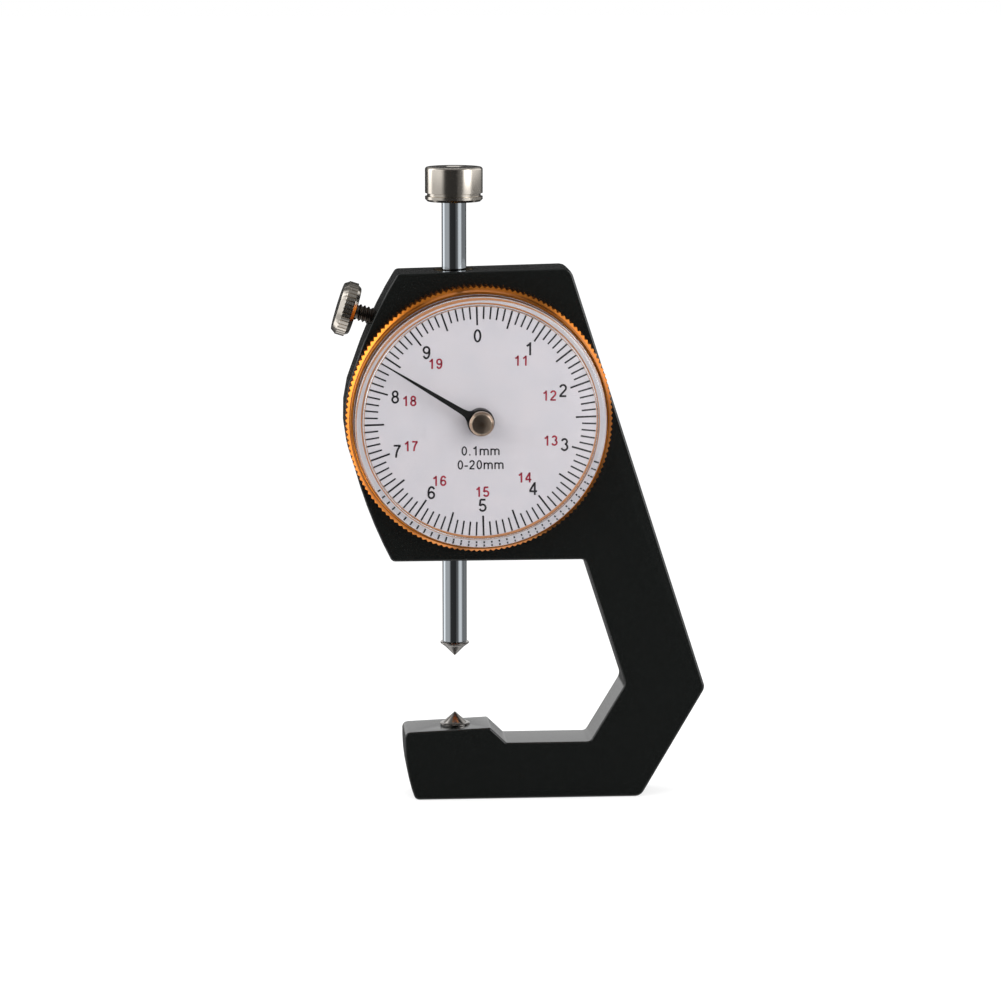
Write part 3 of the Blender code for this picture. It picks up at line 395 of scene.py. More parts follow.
def makeCopies():
    look = frameLook
    copies = {
        "rear_cover": ("rearCoverPlate", "satin_aluminium", metals["brushedAluminium"]),
        "upper_bush": ("upperBushing", "bush_brass", metals["turnedBrass"]),
        "lower_bush": ("lowerBushing", "bush_brass", metals["turnedBrass"]),
    }
    for number in range(1, look["coverScrews"] + 1):
        screw = (f"coverScrewHead{number}", "screw_steel", metals["plainScrewSteel"])
        copies[f"rear_cover_screw_{number}"] = screw
    for node, (name, slotName, material) in copies.items():
        piece = mergedCopy(node, name)
        smoothPiece(piece, look["copyDegrees"])
        applyModifier(piece, "WEIGHTED_NORMAL", {"keep_sharp": True, "weight": look["copyWeight"]})
        dressPiece(piece, "frame_body", material, [node])


def dressHiddenNodes():
    hidden = {
        "turnedBrass": ("arbor_bush", "pinion_cock", "lock_pad"),
        "drawnWireSteel": ("return_spring", "bezel_snap_ring"),
        "plainScrewSteel": ("guide_plate", "guide_screw_1", "guide_screw_2", "guide_pin", "spring_post",
                            "cock_screw_1", "cock_screw_2", "pinion_arbor"),
    }
    for metal, nodes in hidden.items():
        for node in nodes:
            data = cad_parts[node].data
            data.materials.clear()
            data.materials.append(metals[metal])


# Bezel with its coin edge

bezelLook = {
    "tip": 19.4 * mm, "back": 4.45 * mm, "front": 7.2 * mm, "chamfer": 0.3 * mm,
    "coneTop": (18.86 * mm, 7.95 * mm), "seat": 18.5 * mm, "shoulder": 7.6 * mm, "bore": 16.8 * mm,
    "grooveReach": 17.4 * mm, "grooveLow": 5.4 * mm, "grooveHigh": 6.5 * mm, "smoothDegrees": 28,
    # radius and height of the front's broken corners in millimetres, from the seat over the lip to the cone
    "corners": ((18.5, 9.12), (18.56, 9.2), (18.67, 9.2), (18.74, 9.08), (18.84, 8.05), (18.91, 7.9)),
    "teeth": 150, "perTooth": 4, "depth": 0.32 * mm, "knurlInside": 0.36 * mm,
}
# in every tooth: how deep the valley and the flanks are cut, and at which shares of the tooth they stand
knurlLook = {"cuts": ((1.0, (0.5,)), (0.45, (0.25, 0.75))), "phaseReach": 0.05, "frontReach": 0.01 * mm}


def makeBezel():
    look = bezelLook
    topReach, topHeight = look["coneTop"]
    profile = [
        *inMetres(look["corners"]),
        (look["tip"], look["front"]),
        (look["tip"], look["back"] + look["chamfer"]),
        (look["tip"] - look["chamfer"], look["back"]),
        (look["bore"], look["back"]),
        (look["bore"], look["grooveLow"]),
        (look["grooveReach"], look["grooveLow"]),
        (look["grooveReach"], look["grooveHigh"]),
        (look["bore"], look["grooveHigh"]),
        (look["bore"], look["shoulder"]),
        (look["seat"], look["shoulder"]),
    ]
    around = look["teeth"] * look["perTooth"]
    ring = turnedPiece("knurledBezel", profile, around, closed=True)
    coneSlope = (topHeight - look["front"]) / (look["tip"] - topReach)
    cutKnurl(ring, look["teeth"], look["tip"] - look["knurlInside"], look["depth"], look["tip"],
             look["front"], coneSlope)
    settlePiece(ring, dialAxis, towardReader)
    smoothPiece(ring, look["smoothDegrees"])
    dressPiece(ring, "dial_body", gold, ["bezel"])


def cutKnurl(piece, teeth, beyond, depth, tip, front, slope):
    # every tooth has a valley between two flanks: all are drawn in toward the axis, and at the front
    # they run up the cone
    def atPhase(co, places):
        phase = (math.atan2(co.y, co.x) / math.tau * teeth) % 1
        near = any(abs(phase - place) < knurlLook["phaseReach"] for place in places)
        return near and math.hypot(co.x, co.y) > beyond

    makeActive(piece)
    bpy.ops.object.mode_set(mode="EDIT")
    for share, places in knurlLook["cuts"]:
        ahead = front - knurlLook["frontReach"]
        selectVertices(piece, lambda co: co.z > ahead and atPhase(co, places))
        bpy.ops.transform.translate(value=(0, 0, share * depth * slope))
        selectVertices(piece, lambda co: atPhase(co, places))
        drawn = 1 - share * depth / tip
        bpy.ops.transform.resize(value=(drawn, drawn, 1), center_override=(0, 0, 0))
    bpy.ops.object.mode_set(mode="OBJECT")


# Crystal: a short clear wall under a shallow dome

crystalLook = {
    "outer": 18.35 * mm, "foot": 8.75 * mm, "footInner": 16.95 * mm, "flange": 9.1 * mm, "wall": 18.3 * mm,
    "outerTop": 18.2 * mm, "innerTop": 16.95 * mm, "rim": 11.6 * mm, "front": 14.0 * mm, "roof": 0.6 * mm,
    "shoulder": 0.8 * mm, "shoulderSteps": 12, "fillet": 0.3 * mm, "filletSteps": 6, "cornerDegrees": 85,
    "edge": 0.05 * mm, "domeSteps": 24, "segments": 192, "smoothDegrees": 40,
}


def domeProfile(edge, apex, steps):
    # points from the dome's edge up to its apex, on the one circle through both
    radius, low = edge
    rise = apex - low
    curve = (radius ** 2 + rise ** 2) / (2 * rise)
    half = math.asin(radius / curve)
    turns = [half * (1 - step / steps) for step in range(steps + 1)]
    return [(curve * math.sin(turn), apex - curve + curve * math.cos(turn)) for turn in turns]


def makeCrystal():
    look = crystalLook
    edge, fillet, shoulder, steps = look["edge"], look["fillet"], look["shoulder"], look["domeSteps"]
    ceiling = look["rim"] - look["roof"]
    inner = look["innerTop"] - fillet
    outer = look["outerTop"] - shoulder
    profile = domeProfile((inner, ceiling), look["front"] - look["roof"], steps)[::-1]
    profile += arcProfile((inner, ceiling - fillet), fillet, 0, look["cornerDegrees"],
                          look["filletSteps"])[::-1]
    profile += [
        (look["footInner"] - edge, look["foot"] + edge), (look["footInner"], look["foot"]),
        (look["outer"] - edge, look["foot"]), (look["outer"], look["foot"] + edge),
        (look["outer"], look["flange"] - edge), (look["outer"] - edge, look["flange"]),
        (look["wall"] + edge, look["flange"]), (look["wall"], look["flange"] + edge),
    ]
    profile += arcProfile((outer, look["rim"] - shoulder), shoulder, 0, look["cornerDegrees"],
                          look["shoulderSteps"])
    profile += domeProfile((outer, look["rim"]), look["front"], steps)
    dome = turnedPiece("crystalDome", profile, look["segments"], dialAxis, towardReader)
    smoothPiece(dome, look["smoothDegrees"])
    dressPiece(dome, "dial_body", acrylic, ["crystal"])


# Dial plate and its divisions

dialLook = {
    "radius": 18.25 * mm, "back": 7.75 * mm, "front": 8.6 * mm, "hole": 1.0 * mm, "edge": 0.05 * mm,
    "segments": 128, "smoothDegrees": 30, "turnDegrees": -1.7,
    # the ring is a painted reflection of the bezel's gold, and the gold margin beyond stands in for the same
    # reflection
    "ringInner": 16.7 * mm, "ringOuter": 17.08 * mm, "marginInner": 17.9 * mm,
    "divisions": 100, "perLong": 5, "tickOuter": 16.66 * mm, "shortInner": 14.75 * mm,
    "shortWidth": 0.23 * mm, "longInner": 13.85 * mm, "longWidth": 0.26 * mm, "inkHeight": 0.02 * mm,
    # the ends of these divisions show under the lower part of the crystal's wall
    "ends": range(31, 67), "endInner": 17.3 * mm, "endOuter": 17.66 * mm,
}


def makeDialPlate():
    look = dialLook
    hole, radius, front, edge = look["hole"], look["radius"], look["front"], look["edge"]
    profile = [
        (hole, look["back"]), (hole, front - edge), (hole + edge, front), (look["ringInner"], front),
        (look["ringOuter"], front), (look["marginInner"], front), (radius - edge, front),
        (radius, front - edge), (radius, look["back"]),
    ]
    plate = turnedPiece("dialFace", profile, look["segments"], dialAxis, towardReader, closed=True)
    smoothPiece(plate, look["smoothDegrees"])
    dressPiece(plate, "dial_body", dialLacquer, ["dial_plate"])
    # a copper brown ring at the foot of the crystal's wall is a painted reflection of the gold bezel, and the
    # gold margin beyond stands in for the bezel reflected in the crystal
    plate.data.materials.append(bezelReflectionInk)
    plate.data.materials.append(gold)
    for face in plate.data.polygons:
        reach = math.hypot(face.center.x - dialX, face.center.z - dialZ)
        if face.center.y < -front + edge / 2:
            inRing = look["ringInner"] < reach < look["ringOuter"]
            face.material_index = 1 if inRing else 2 if reach > look["marginInner"] else 0


def makeTick(name, inner, outer, width):
    # one mark standing at the top of the dial
    startClean()
    bpy.ops.mesh.primitive_cube_add(size=1, location=(0, 0, 0))
    tick = bpy.context.object
    tick.name = name
    tick.scale = (width, outer - inner, dialLook["inkHeight"])
    tick.location = (0, (inner + outer) / 2, dialLook["front"] + dialLook["inkHeight"] / 2)
    bpy.ops.object.transform_apply()
    return tick


def makeDivisions():
    # three marks are modelled once and copied: the short and the long one, and the end under the wall
    look = dialLook
    models = {
        "short": makeTick("shortTick", look["shortInner"], look["tickOuter"], look["shortWidth"]),
        "long": makeTick("longTick", look["longInner"], look["tickOuter"], look["longWidth"]),
        "end": makeTick("tickEnd", look["endInner"], look["endOuter"], look["shortWidth"]),
    }
    ticks = []
    for number in range(look["divisions"]):
        turn = -math.radians(look["turnDegrees"] + 360 / look["divisions"] * number)
        kinds = ["short" if number % look["perLong"] else "long"]
        if number in look["ends"]:
            kinds.append("end")
        for kind in kinds:
            tick = bpy.data.objects.new("tick", models[kind].data.copy())
            bpy.context.scene.collection.objects.link(tick)
            settlePiece(tick, (0, 0, 0), (0, 0, turn))
            ticks.append(tick)
    for model in models.values():
        bpy.data.objects.remove(model)
    divisions = joinPieces(ticks, "dialDivisions")
    settlePiece(divisions, dialAxis, towardReader)
    dressPiece(divisions, "dial_body", blackInk)


# Numbers and notes, drawn with one flat pen

printingLook = {
    "pen": 0.148, "boldPen": 0.17, "notePen": 0.15, "closedGap": 0.001, "stepDegrees": 36,
    "blackSize": 1.87 * mm, "blackRing": 12.32 * mm, "blackSideShift": 0.45 * mm,
    "redSize": 1.47 * mm, "redRing": 10.35 * mm, "redSideShift": 0.3 * mm,
    "noteSize": 1.33 * mm, "noteWide": 1.02, "noteShift": 0.06 * mm,
    "notes": (("0.1mm", -4.37 * mm), ("0-20mm", -6.4 * mm)),
}


def bow(x, y, reachX, reachY, first, last, steps=12):
    # part of an oval from one clock angle to another, 0 at the right and 90 at the top
    angles = [math.radians(first + (last - first) * step / steps) for step in range(steps + 1)]
    return [(x + reachX * math.cos(angle), y + reachY * math.sin(angle)) for angle in angles]


# figures of an upright sans, as pen lines on a body one unit high, each after its own advance
penFigures = {
    "0": (0.77, [bow(0.385, 0.5, 0.225, 0.438, 0, 360, 28)]),
    "1": (0.77, [[(0.46, 0), (0.46, 1)], [(0.46, 0.93), (0.35, 0.8), (0.19, 0.71)]]),
    "2": (0.77, [bow(0.38, 0.7, 0.225, 0.238, 170, -30) + [(0.43, 0.4), (0.26, 0.24), (0.15, 0.06)],
                 [(0.1, 0.062), (0.64, 0.062)]]),
    "3": (0.77, [bow(0.37, 0.73, 0.2, 0.208, 165, -80), bow(0.37, 0.3, 0.235, 0.238, 80, -165)]),
    "4": (0.77, [[(0.5, 0), (0.5, 1)], [(0.5, 0.96), (0.12, 0.33)], [(0.08, 0.29), (0.68, 0.29)]]),
    "5": (0.77, [[(0.6, 0.935), (0.2, 0.935)], [(0.22, 0.96), (0.15, 0.46)],
                 bow(0.375, 0.315, 0.235, 0.253, 148, -160, 16)]),
    "6": (0.77, [bow(0.39, 0.305, 0.225, 0.243, 0, 360, 24), bow(0.41, 0.5, 0.245, 0.438, 205, 35, 16)]),
    "7": (0.77, [[(0.12, 0.93), (0.66, 0.93)], [(0.62, 0.93), (0.45, 0.66), (0.34, 0.36), (0.3, 0)]]),
    "8": (0.77, [bow(0.385, 0.735, 0.19, 0.205, 0, 360, 22), bow(0.385, 0.295, 0.225, 0.235, 0, 360, 24)]),
    "9": (0.77, [bow(0.38, 0.695, 0.225, 0.243, 0, 360, 24), bow(0.36, 0.5, 0.245, 0.438, 25, -145, 16)]),
    ".": (0.4, [[(0.2, 0), (0.2, 0.14)]]),
    "-": (0.48, [[(0.06, 0.37), (0.42, 0.37)]]),
    "m": (1.15, [[(0.15, 0), (0.15, 0.73)], bow(0.36, 0.47, 0.21, 0.2, 180, 0) + [(0.57, 0)],
                 bow(0.78, 0.47, 0.21, 0.2, 180, 0) + [(0.99, 0)]]),
}


def makePenTip(width):
    startClean()
    bpy.ops.mesh.primitive_plane_add(size=1, location=(0, 0, 0))
    tip = bpy.context.object
    tip.scale = (width, dialLook["inkHeight"], 1)
    bpy.ops.object.transform_apply()
    bpy.ops.object.convert(target="CURVE")
    return bpy.context.object


def writeWords(words, size, x, y, pen, wide=1.0):
    # the words stand upright with their middle at x, y on the dial, and a line that meets itself is closed
    startClean()
    tip = makePenTip(size * pen)
    strokes = bpy.data.curves.new("writing", "CURVE")
    strokes.dimensions = "3D"
    strokes.twist_mode = "Z_UP"
    strokes.bevel_mode = "OBJECT"
    strokes.bevel_object = tip
    strokes.use_fill_caps = True
    along = -sum(penFigures[letter][0] for letter in words) / 2
    for letter in words:
        advance, lines = penFigures[letter]
        for line in lines:
            closed = math.dist(line[0], line[-1]) < printingLook["closedGap"]
            points = line[:-1] if closed else line
            stroke = strokes.splines.new("POLY")
            stroke.points.add(len(points) - 1)
            stroke.use_cyclic_u = closed
            for point, (across, up) in zip(stroke.points, points):
                point.co = ((along + across) * size * wide, (up - 0.5) * size, 0, 1)
        along += advance
    writing = bpy.data.objects.new("writing", strokes)
    bpy.context.scene.collection.objects.link(writing)
    makeActive(writing)
    bpy.ops.object.convert(target="MESH")
    writing = bpy.context.object
    writing.location = (x, y, dialLook["front"] + dialLook["inkHeight"] / 2)
    bpy.ops.object.transform_apply()
    bpy.data.objects.remove(tip)
    return writing


def writeRing(numbers, size, ring, sideShift, pen):
    # the row is turned with the dial, and its figures stand upright in the photograph's pose
    pieces = []
    for step, words in numbers:
        angle = math.radians(printingLook["stepDegrees"] * step + dialLook["turnDegrees"])
        reach = ring + sideShift * abs(math.sin(angle))
        pieces.append(writeWords(words, size, reach * math.sin(angle), reach * math.cos(angle), pen))
    return pieces


def makeNumbers():
    look = printingLook
    black = writeRing([(step, str(step)) for step in range(10)], look["blackSize"], look["blackRing"],
                      look["blackSideShift"], look["pen"])
    black += [writeWords(words, look["noteSize"], look["noteShift"], y, look["notePen"], look["noteWide"])
              for words, y in look["notes"]]
    red = writeRing([(step, str(10 + step)) for step in range(1, 10)], look["redSize"], look["redRing"],
                    look["redSideShift"], look["boldPen"])
    for pieces, name, material in ((black, "dialNumbersBlack", blackInk), (red, "dialNumbersRed", redInk)):
        numbers = joinPieces(pieces, name)
        settlePiece(numbers, dialAxis, towardReader)
        dressPiece(numbers, "dial_body", material)


# Pointer and its cap

pointerLook = {
    "restDegrees": 58.6, "hub": 1.95 * mm, "back": 8.8 * mm, "front": 11.0 * mm, "bore": 0.69 * mm,
    "edge": 0.06 * mm, "segments": 72, "smoothDegrees": 30, "bladeThick": 0.3 * mm, "bladeEdge": 0.04 * mm,
    # half width and distance from the axis in millimetres, from inside the hub out to the point
    "blade": ((1.1, 1.45), (0.84, 1.95), (0.52, 2.5), (0.42, 3.2), (0.38, 4.2), (0.29, 7.5), (0.07, 16.15),
              (0.0175, 16.3)),
}
capLook = {
    "radius": 1.78 * mm, "low": 11.09 * mm, "high": 12.49 * mm, "bore": 0.69 * mm, "boreDeep": 0.7 * mm,
    "edge": 0.05 * mm, "chamfer": 0.4 * mm, "cornerNear": 0.02 * mm, "cornerFar": 0.04 * mm,
    "dimple": 0.3 * mm, "dimpleEdge": 0.03 * mm, "dimpleDeep": 1.0 * mm, "segments": 72, "smoothDegrees": 32,
}


def makeBlade():
    # from its root inside the hub the blade is extruded, station by station, out to its point
    look = pointerLook
    stations = inMetres(look["blade"])
    half, low = stations[0]
    startClean()
    middle = low - half
    bpy.ops.mesh.primitive_plane_add(size=2 * half, location=(0, middle, look["front"] - look["bladeThick"]))
    blade = bpy.context.object
    bpy.ops.object.transform_apply()
    bpy.ops.object.mode_set(mode="EDIT")
    selectVertices(blade, lambda co: co.y > middle)
    for nextHalf, nextLow in stations[1:]:
        bpy.ops.mesh.extrude_region_move(TRANSFORM_OT_translate={"value": (0, nextLow - low, 0)})
        bpy.ops.transform.resize(value=(nextHalf / half, 1, 1), center_override=(0, nextLow, 0))
        half, low = nextHalf, nextLow
    bpy.ops.mesh.select_all(action="SELECT")
    bpy.ops.mesh.extrude_region_move(TRANSFORM_OT_translate={"value": (0, 0, look["bladeThick"])})
    bpy.ops.mesh.select_all(action="SELECT")
    bpy.ops.mesh.normals_make_consistent(inside=False)
    bpy.ops.object.mode_set(mode="OBJECT")
    applyModifier(blade, "BEVEL", {"width": look["bladeEdge"], "segments": 1, "limit_method": "ANGLE",
                                   "angle_limit": math.radians(shopLook["edgeDegrees"])})
    return blade


def makePointer():
    look = pointerLook
    radius, low, high, edge = look["hub"], look["back"], look["front"], look["edge"]
    profile = [
        (look["bore"], low), (radius - edge, low), (radius, low + edge), (radius, high - edge),
        (radius - edge, high), (look["bore"], high),
    ]
    hub = turnedPiece("pointerHand", profile, look["segments"], closed=True)
    blade = makeBlade()
    applyModifier(hub, "BOOLEAN", {"operation": "UNION", "solver": "EXACT", "object": blade})
    bpy.data.objects.remove(blade)
    settlePiece(hub, (0, 0, 0), (0, 0, math.radians(look["restDegrees"])))
    settlePiece(hub, dialAxis, towardReader)
    smoothPiece(hub, look["smoothDegrees"])
    dressPiece(hub, "pointer_body", pointerLacquer, ["pointer"])


def makePointerCap():
    look = capLook
    radius, low, high, chamfer = look["radius"], look["low"], look["high"], look["chamfer"]
    near, far, edge = look["cornerNear"], look["cornerFar"], look["edge"]
    profile = [
        (0, low + look["boreDeep"]), (look["bore"], low + look["boreDeep"]), (look["bore"], low),
        (radius - edge, low), (radius, low + edge), (radius, high - chamfer),
        (radius - near, high - chamfer + far), (radius - chamfer + far, high - near),
        (radius - chamfer, high), (look["dimple"] + look["dimpleEdge"], high),
        (look["dimple"], high - look["dimpleEdge"]),
        (0, high - look["dimpleDeep"]),
    ]
    cap = turnedPiece("pointerCapTurned", profile, look["segments"], dialAxis, towardReader)
    smoothPiece(cap, look["smoothDegrees"])
    dressPiece(cap, "pointer_body", metals["turnedCapSteel"], ["pointer_cap"])


# Spindle, tips and lifting cap

spindleLook = {"smoothDegrees": 25}
tipLook = {
    # radius and distance from the point in millimetres, for each corner of the head
    "contactHead": ((0, 0), (0.12, 0.1), (1.4, 1.4), (1.95, 1.8), (2.06, 1.88), (2.12, 1.98), (2.12, 2.09),
                    (2.06, 2.15)),
    "anvilHead": ((0, 0), (0.12, 0.1), (1.6, 1.42), (1.72, 1.58), (2.05, 1.6), (2.2, 1.7), (2.2, 1.85)),
    "contactShank": 0.7 * mm, "anvilShank": 1.2 * mm, "segments": 72, "smoothDegrees": 25,
}
liftLook = {
    "bore": 1.89 * mm, "boreDeep": 3.8 * mm, "edge": 0.35 * mm, "edgeSteps": 4, "grooveLow": 0.75 * mm,
    "grooveHigh": 1.25 * mm, "grooveFlank": 0.1 * mm, "grooveDeep": 0.3 * mm, "dishOuter": 1.6 * mm,
    "dishInner": 1.4 * mm, "dishDeep": 0.1 * mm, "segments": 240, "smoothDegrees": 30,
}


def makeSpindle():
    rod = mergedCopy("spindle", "spindleRod")
    smoothPiece(rod, spindleLook["smoothDegrees"])
    dressPiece(rod, "spindle_body", metals["groundSteel"], ["spindle"])


def turnTip(name, head, shank, point, end):
    # the head is measured from its point toward the shank's end
    way = math.copysign(1, end - point)
    profile = [(radius, point + way * along) for radius, along in inMetres(head)]
    profile += [(shank, profile[-1][1]), (shank, end), (0, end)]
    tip = turnedPiece(name, profile, tipLook["segments"])
    smoothPiece(tip, tipLook["smoothDegrees"])
    return tip


def makeTips():
    look = tipLook
    steel = metals["turnedTipSteel"]
    low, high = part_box("contact_tip")
    contact = turnTip("contactTipTurned", look["contactHead"], look["contactShank"], low.z, high.z)
    dressPiece(contact, "spindle_body", steel, ["contact_tip"])
    low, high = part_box("anvil_tip")
    anvil = turnTip("anvilTipTurned", look["anvilHead"], look["anvilShank"], high.z, low.z)
    dressPiece(anvil, "frame_body", steel, ["anvil_tip"])


def makeLiftingCap():
    look = liftLook
    low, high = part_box("lifting_cap")
    reach = (high.x - low.x) / 2
    foot, top, edge = low.z, high.z, look["edge"]
    neck = reach - look["grooveDeep"]
    profile = [
        (0, foot + look["boreDeep"]), (look["bore"], foot + look["boreDeep"]), (look["bore"], foot),
        (reach - edge, foot), (reach, foot + edge), (reach, foot + look["grooveLow"]),
        (neck, foot + look["grooveLow"] + look["grooveFlank"]),
        (neck, foot + look["grooveHigh"] - look["grooveFlank"]), (reach, foot + look["grooveHigh"]),
    ]
    profile += arcProfile((reach - edge, top - edge), edge, 0, 90, look["edgeSteps"])
    floor = top - look["dishDeep"]
    profile += [(look["dishOuter"], top), (look["dishInner"], floor), (0, floor)]
    cap = turnedPiece("liftingCapTurned", profile, look["segments"])
    smoothPiece(cap, look["smoothDegrees"])
    dressPiece(cap, "spindle_body", metals["brightNickel"], ["lifting_cap"])


# Lock screw

lockLook = {
    "origin": (-11.9 * mm, 0, 71.401 * mm), "slopeDegrees": 17.5, "headRadius": 4.0 * mm, "neck": -2.7 * mm,
    # radius and place along the screw in millimetres, from the end face over the knurl to the neck
    "head": ((0, -5.3), (3.45, -5.3), (3.5, -5.27), (3.9, -4.68), (4.0, -4.6), (4.0, -3.3), (3.76, -3.26),
             (3.5, -2.82), (3.3, -2.7)),
    "teeth": 40, "perTooth": 6, "depth": 0.24 * mm, "knurlInside": 0.05 * mm, "smoothDegrees": 28,
    "end": 4.8 * mm, "pitch": 0.6 * mm, "threadRadius": 1.25 * mm, "threadDepth": 0.27 * mm,
    # the thread's V: its foot's half as a share of the pitch, how much narrower the crest is, its place
    "vHalf": 0.46, "crestShare": 0.16, "crestGap": 0.01 * mm, "footSunk": 0.05 * mm, "stepsPerTurn": 36,
    "neckGap": 0.02 * mm,
}


def makeLockScrew():
    look = lockLook
    core = look["threadRadius"] - look["threadDepth"]
    profile = [*inMetres(look["head"]), (core, look["neck"]), (core, look["end"]), (0, look["end"])]
    head = turnedPiece("lockScrewKnurled", profile, look["teeth"] * look["perTooth"])
    cutKnurl(head, look["teeth"], look["headRadius"] - look["knurlInside"], look["depth"], look["headRadius"],
             look["neck"], 0)
    screw = joinPieces([head, makeThread(core)], "lockScrewKnurled")
    slope = math.radians(look["slopeDegrees"])
    settlePiece(screw, look["origin"], (0, math.radians(90) + slope, 0))
    smoothPiece(screw, look["smoothDegrees"])
    dressPiece(screw, "lock_screw_body", metals["brightNickel"], ["lock_screw"])
    # the shank and its thread are darker than the plated head
    screw.data.materials.append(metals["darkThreadSteel"])
    axis = Vector((math.cos(slope), 0, -math.sin(slope)))
    for face in screw.data.polygons:
        along = (face.center - Vector(look["origin"])).dot(axis)
        if along > look["neck"] + look["neckGap"]:
            face.material_index = 1


def makeThread(core):
    # one V of thread is swept up the shank as a screw
    look = lockLook
    startClean()
    crest = look["threadRadius"] - look["crestGap"]
    foot = core - look["footSunk"]
    middle = (crest + foot) / 2
    bpy.ops.mesh.primitive_plane_add(size=1, location=(0, 0, 0), rotation=towardReader)
    thread = bpy.context.object
    thread.scale = (crest - foot, 2 * look["pitch"] * look["vHalf"], 1)
    thread.location = (middle, 0, look["neck"] + look["pitch"] / 2)
    bpy.ops.object.transform_apply()
    bpy.ops.object.mode_set(mode="EDIT")
    selectVertices(thread, lambda co: co.x > middle)
    bpy.ops.transform.resize(value=(1, 1, look["crestShare"]))
    bpy.ops.object.mode_set(mode="OBJECT")
    turns = int((look["end"] - look["neck"]) / look["pitch"]) - 1
    applyModifier(thread, "SCREW", {"angle": math.tau, "screw_offset": look["pitch"], "iterations": turns,
                                    "steps": look["stepsPerTurn"], "render_steps": look["stepsPerTurn"],
                                    "use_merge_vertices": False, "use_smooth_shade": False})
    makeActive(thread)
    bpy.ops.object.mode_set(mode="EDIT")
    bpy.ops.mesh.select_all(action="SELECT")
    bpy.ops.mesh.remove_doubles(threshold=shopLook["weld"])
    bpy.ops.mesh.normals_make_consistent(inside=False)
    bpy.ops.object.mode_set(mode="OBJECT")
    return thread


# Studio

cameraLook = {
    "spot": (-0.03311, -0.54344, 0.13033), "target": (0.006795, 0, 0.044028), "lens": 134.72, "sensor": 36,
    "nearClip": 0.01,
}
# spot, size and watts; polished metal and clear plastic show the walls instead of the lamps
lampLook = {
    "keyLamp": ((-0.46, -0.38, 0.36), 0.5, 1.7),
    "fillLamp": ((0.26, -0.50, 0.26), 0.45, 2.1),
    "topLamp": ((0.0, 0.15, 0.6), 0.4, 0.8),
    "sideLamp": ((-0.56, 0.12, 0.34), 0.45, 0.9),
}
lampTarget = (0.005, 0, 0.045)


def aimAt(thing, target):
    direction = Vector(target) - thing.location
    thing.rotation_euler = direction.to_track_quat("-Z", "Y").to_euler()


def makeCamera():
    look = cameraLook
    startClean()
    bpy.ops.object.camera_add(location=look["spot"])
    camera = bpy.context.object
    camera.name = "photoCamera"
    camera.data.lens = look["lens"]
    camera.data.sensor_width = look["sensor"]
    camera.data.clip_start = look["nearClip"]
    aimAt(camera, look["target"])
    bpy.context.scene.camera = camera


def makeLamps():
    for name, (spot, size, power) in lampLook.items():
        startClean()
        bpy.ops.object.light_add(type="AREA", location=spot)
        lamp = bpy.context.object
        lamp.name = name
        lamp.data.size = size
        lamp.data.energy = power
        lamp.visible_transmission = False
        lamp.visible_glossy = False
        aimAt(lamp, lampTarget)


# What polished metal and clear plastic show of the room
roomLook = {
    # degrees from straight in front, and how bright the wall is there
    "walls": ((-180, 1.0), (-155, 1.0), (-140, 0.15), (-130, 0.2), (-122, 1.7), (-106, 1.7), (-100, 0.65),
              (-55, 0.65), (-40, 0.05), (8, 0.04), (16, 0.15), (30, 0.2), (40, 1.0), (62, 1.2), (74, 0.3),
              (150, 0.3), (165, 1.0), (180, 1.0)),
    # each level follows one part of the unit direction, from its first value to its second
    "spans": {
        "belowTable": ("up", "SMOOTHSTEP", -0.08, -0.01, -0.85, 0.0),
        "behind": ("back", "LINEAR", 0.6, 0.9, 0.0, 1.0),
        "towardCeiling": ("up", "SMOOTHSTEP", 0.55, 0.85, 1.0, 0.25),
        "atSide": ("aside", "SMOOTHSTEP", 0.5, 0.75, 0.0, 1.0),
        "windows": ("right", "LINEAR", -0.2, 0.2, 0.8, 3.0),
        "aboveTable": ("up", "SMOOTHSTEP", -0.05, 0.1, 0.0, 1.0),
        "table": ("up", "SMOOTHSTEP", -0.55, -0.8, 0.0, 0.8),
        "ceiling": ("up", "SMOOTHSTEP", 0.6, 0.9, 0.0, 0.3),
    },
    "joins": (
        # behind the object the wall is dim below the table's edge, and all walls fade toward the ceiling
        ("edge", "MULTIPLY_ADD", "belowTable", "behind"),
        ("shade", "MULTIPLY", "edge", "towardCeiling"),
        # both side walls are brighter above the table's height, like windows
        ("lit", "MULTIPLY_ADD", "atSide", "aboveTable"),
        ("lifted", "MULTIPLY", "lit", "walls"),
        ("wall", "MULTIPLY", "shade", "lifted"),
        # what looks steeply down meets the pale table, and steeply up a dim ceiling
        ("ends", "MAXIMUM", "table", "ceiling"),
        ("room", "MAXIMUM", "wall", "ends"),
        ("bent", "MAXIMUM", "glossyRay", "passingRay"),
        ("glossy", "MULTIPLY", "bent", "room"),
        ("shown", "MAXIMUM", "cameraRay", "glossy"),
        ("both", "MAXIMUM", "shown", "soft"),
    ),
    "softLight": 0.96,
}


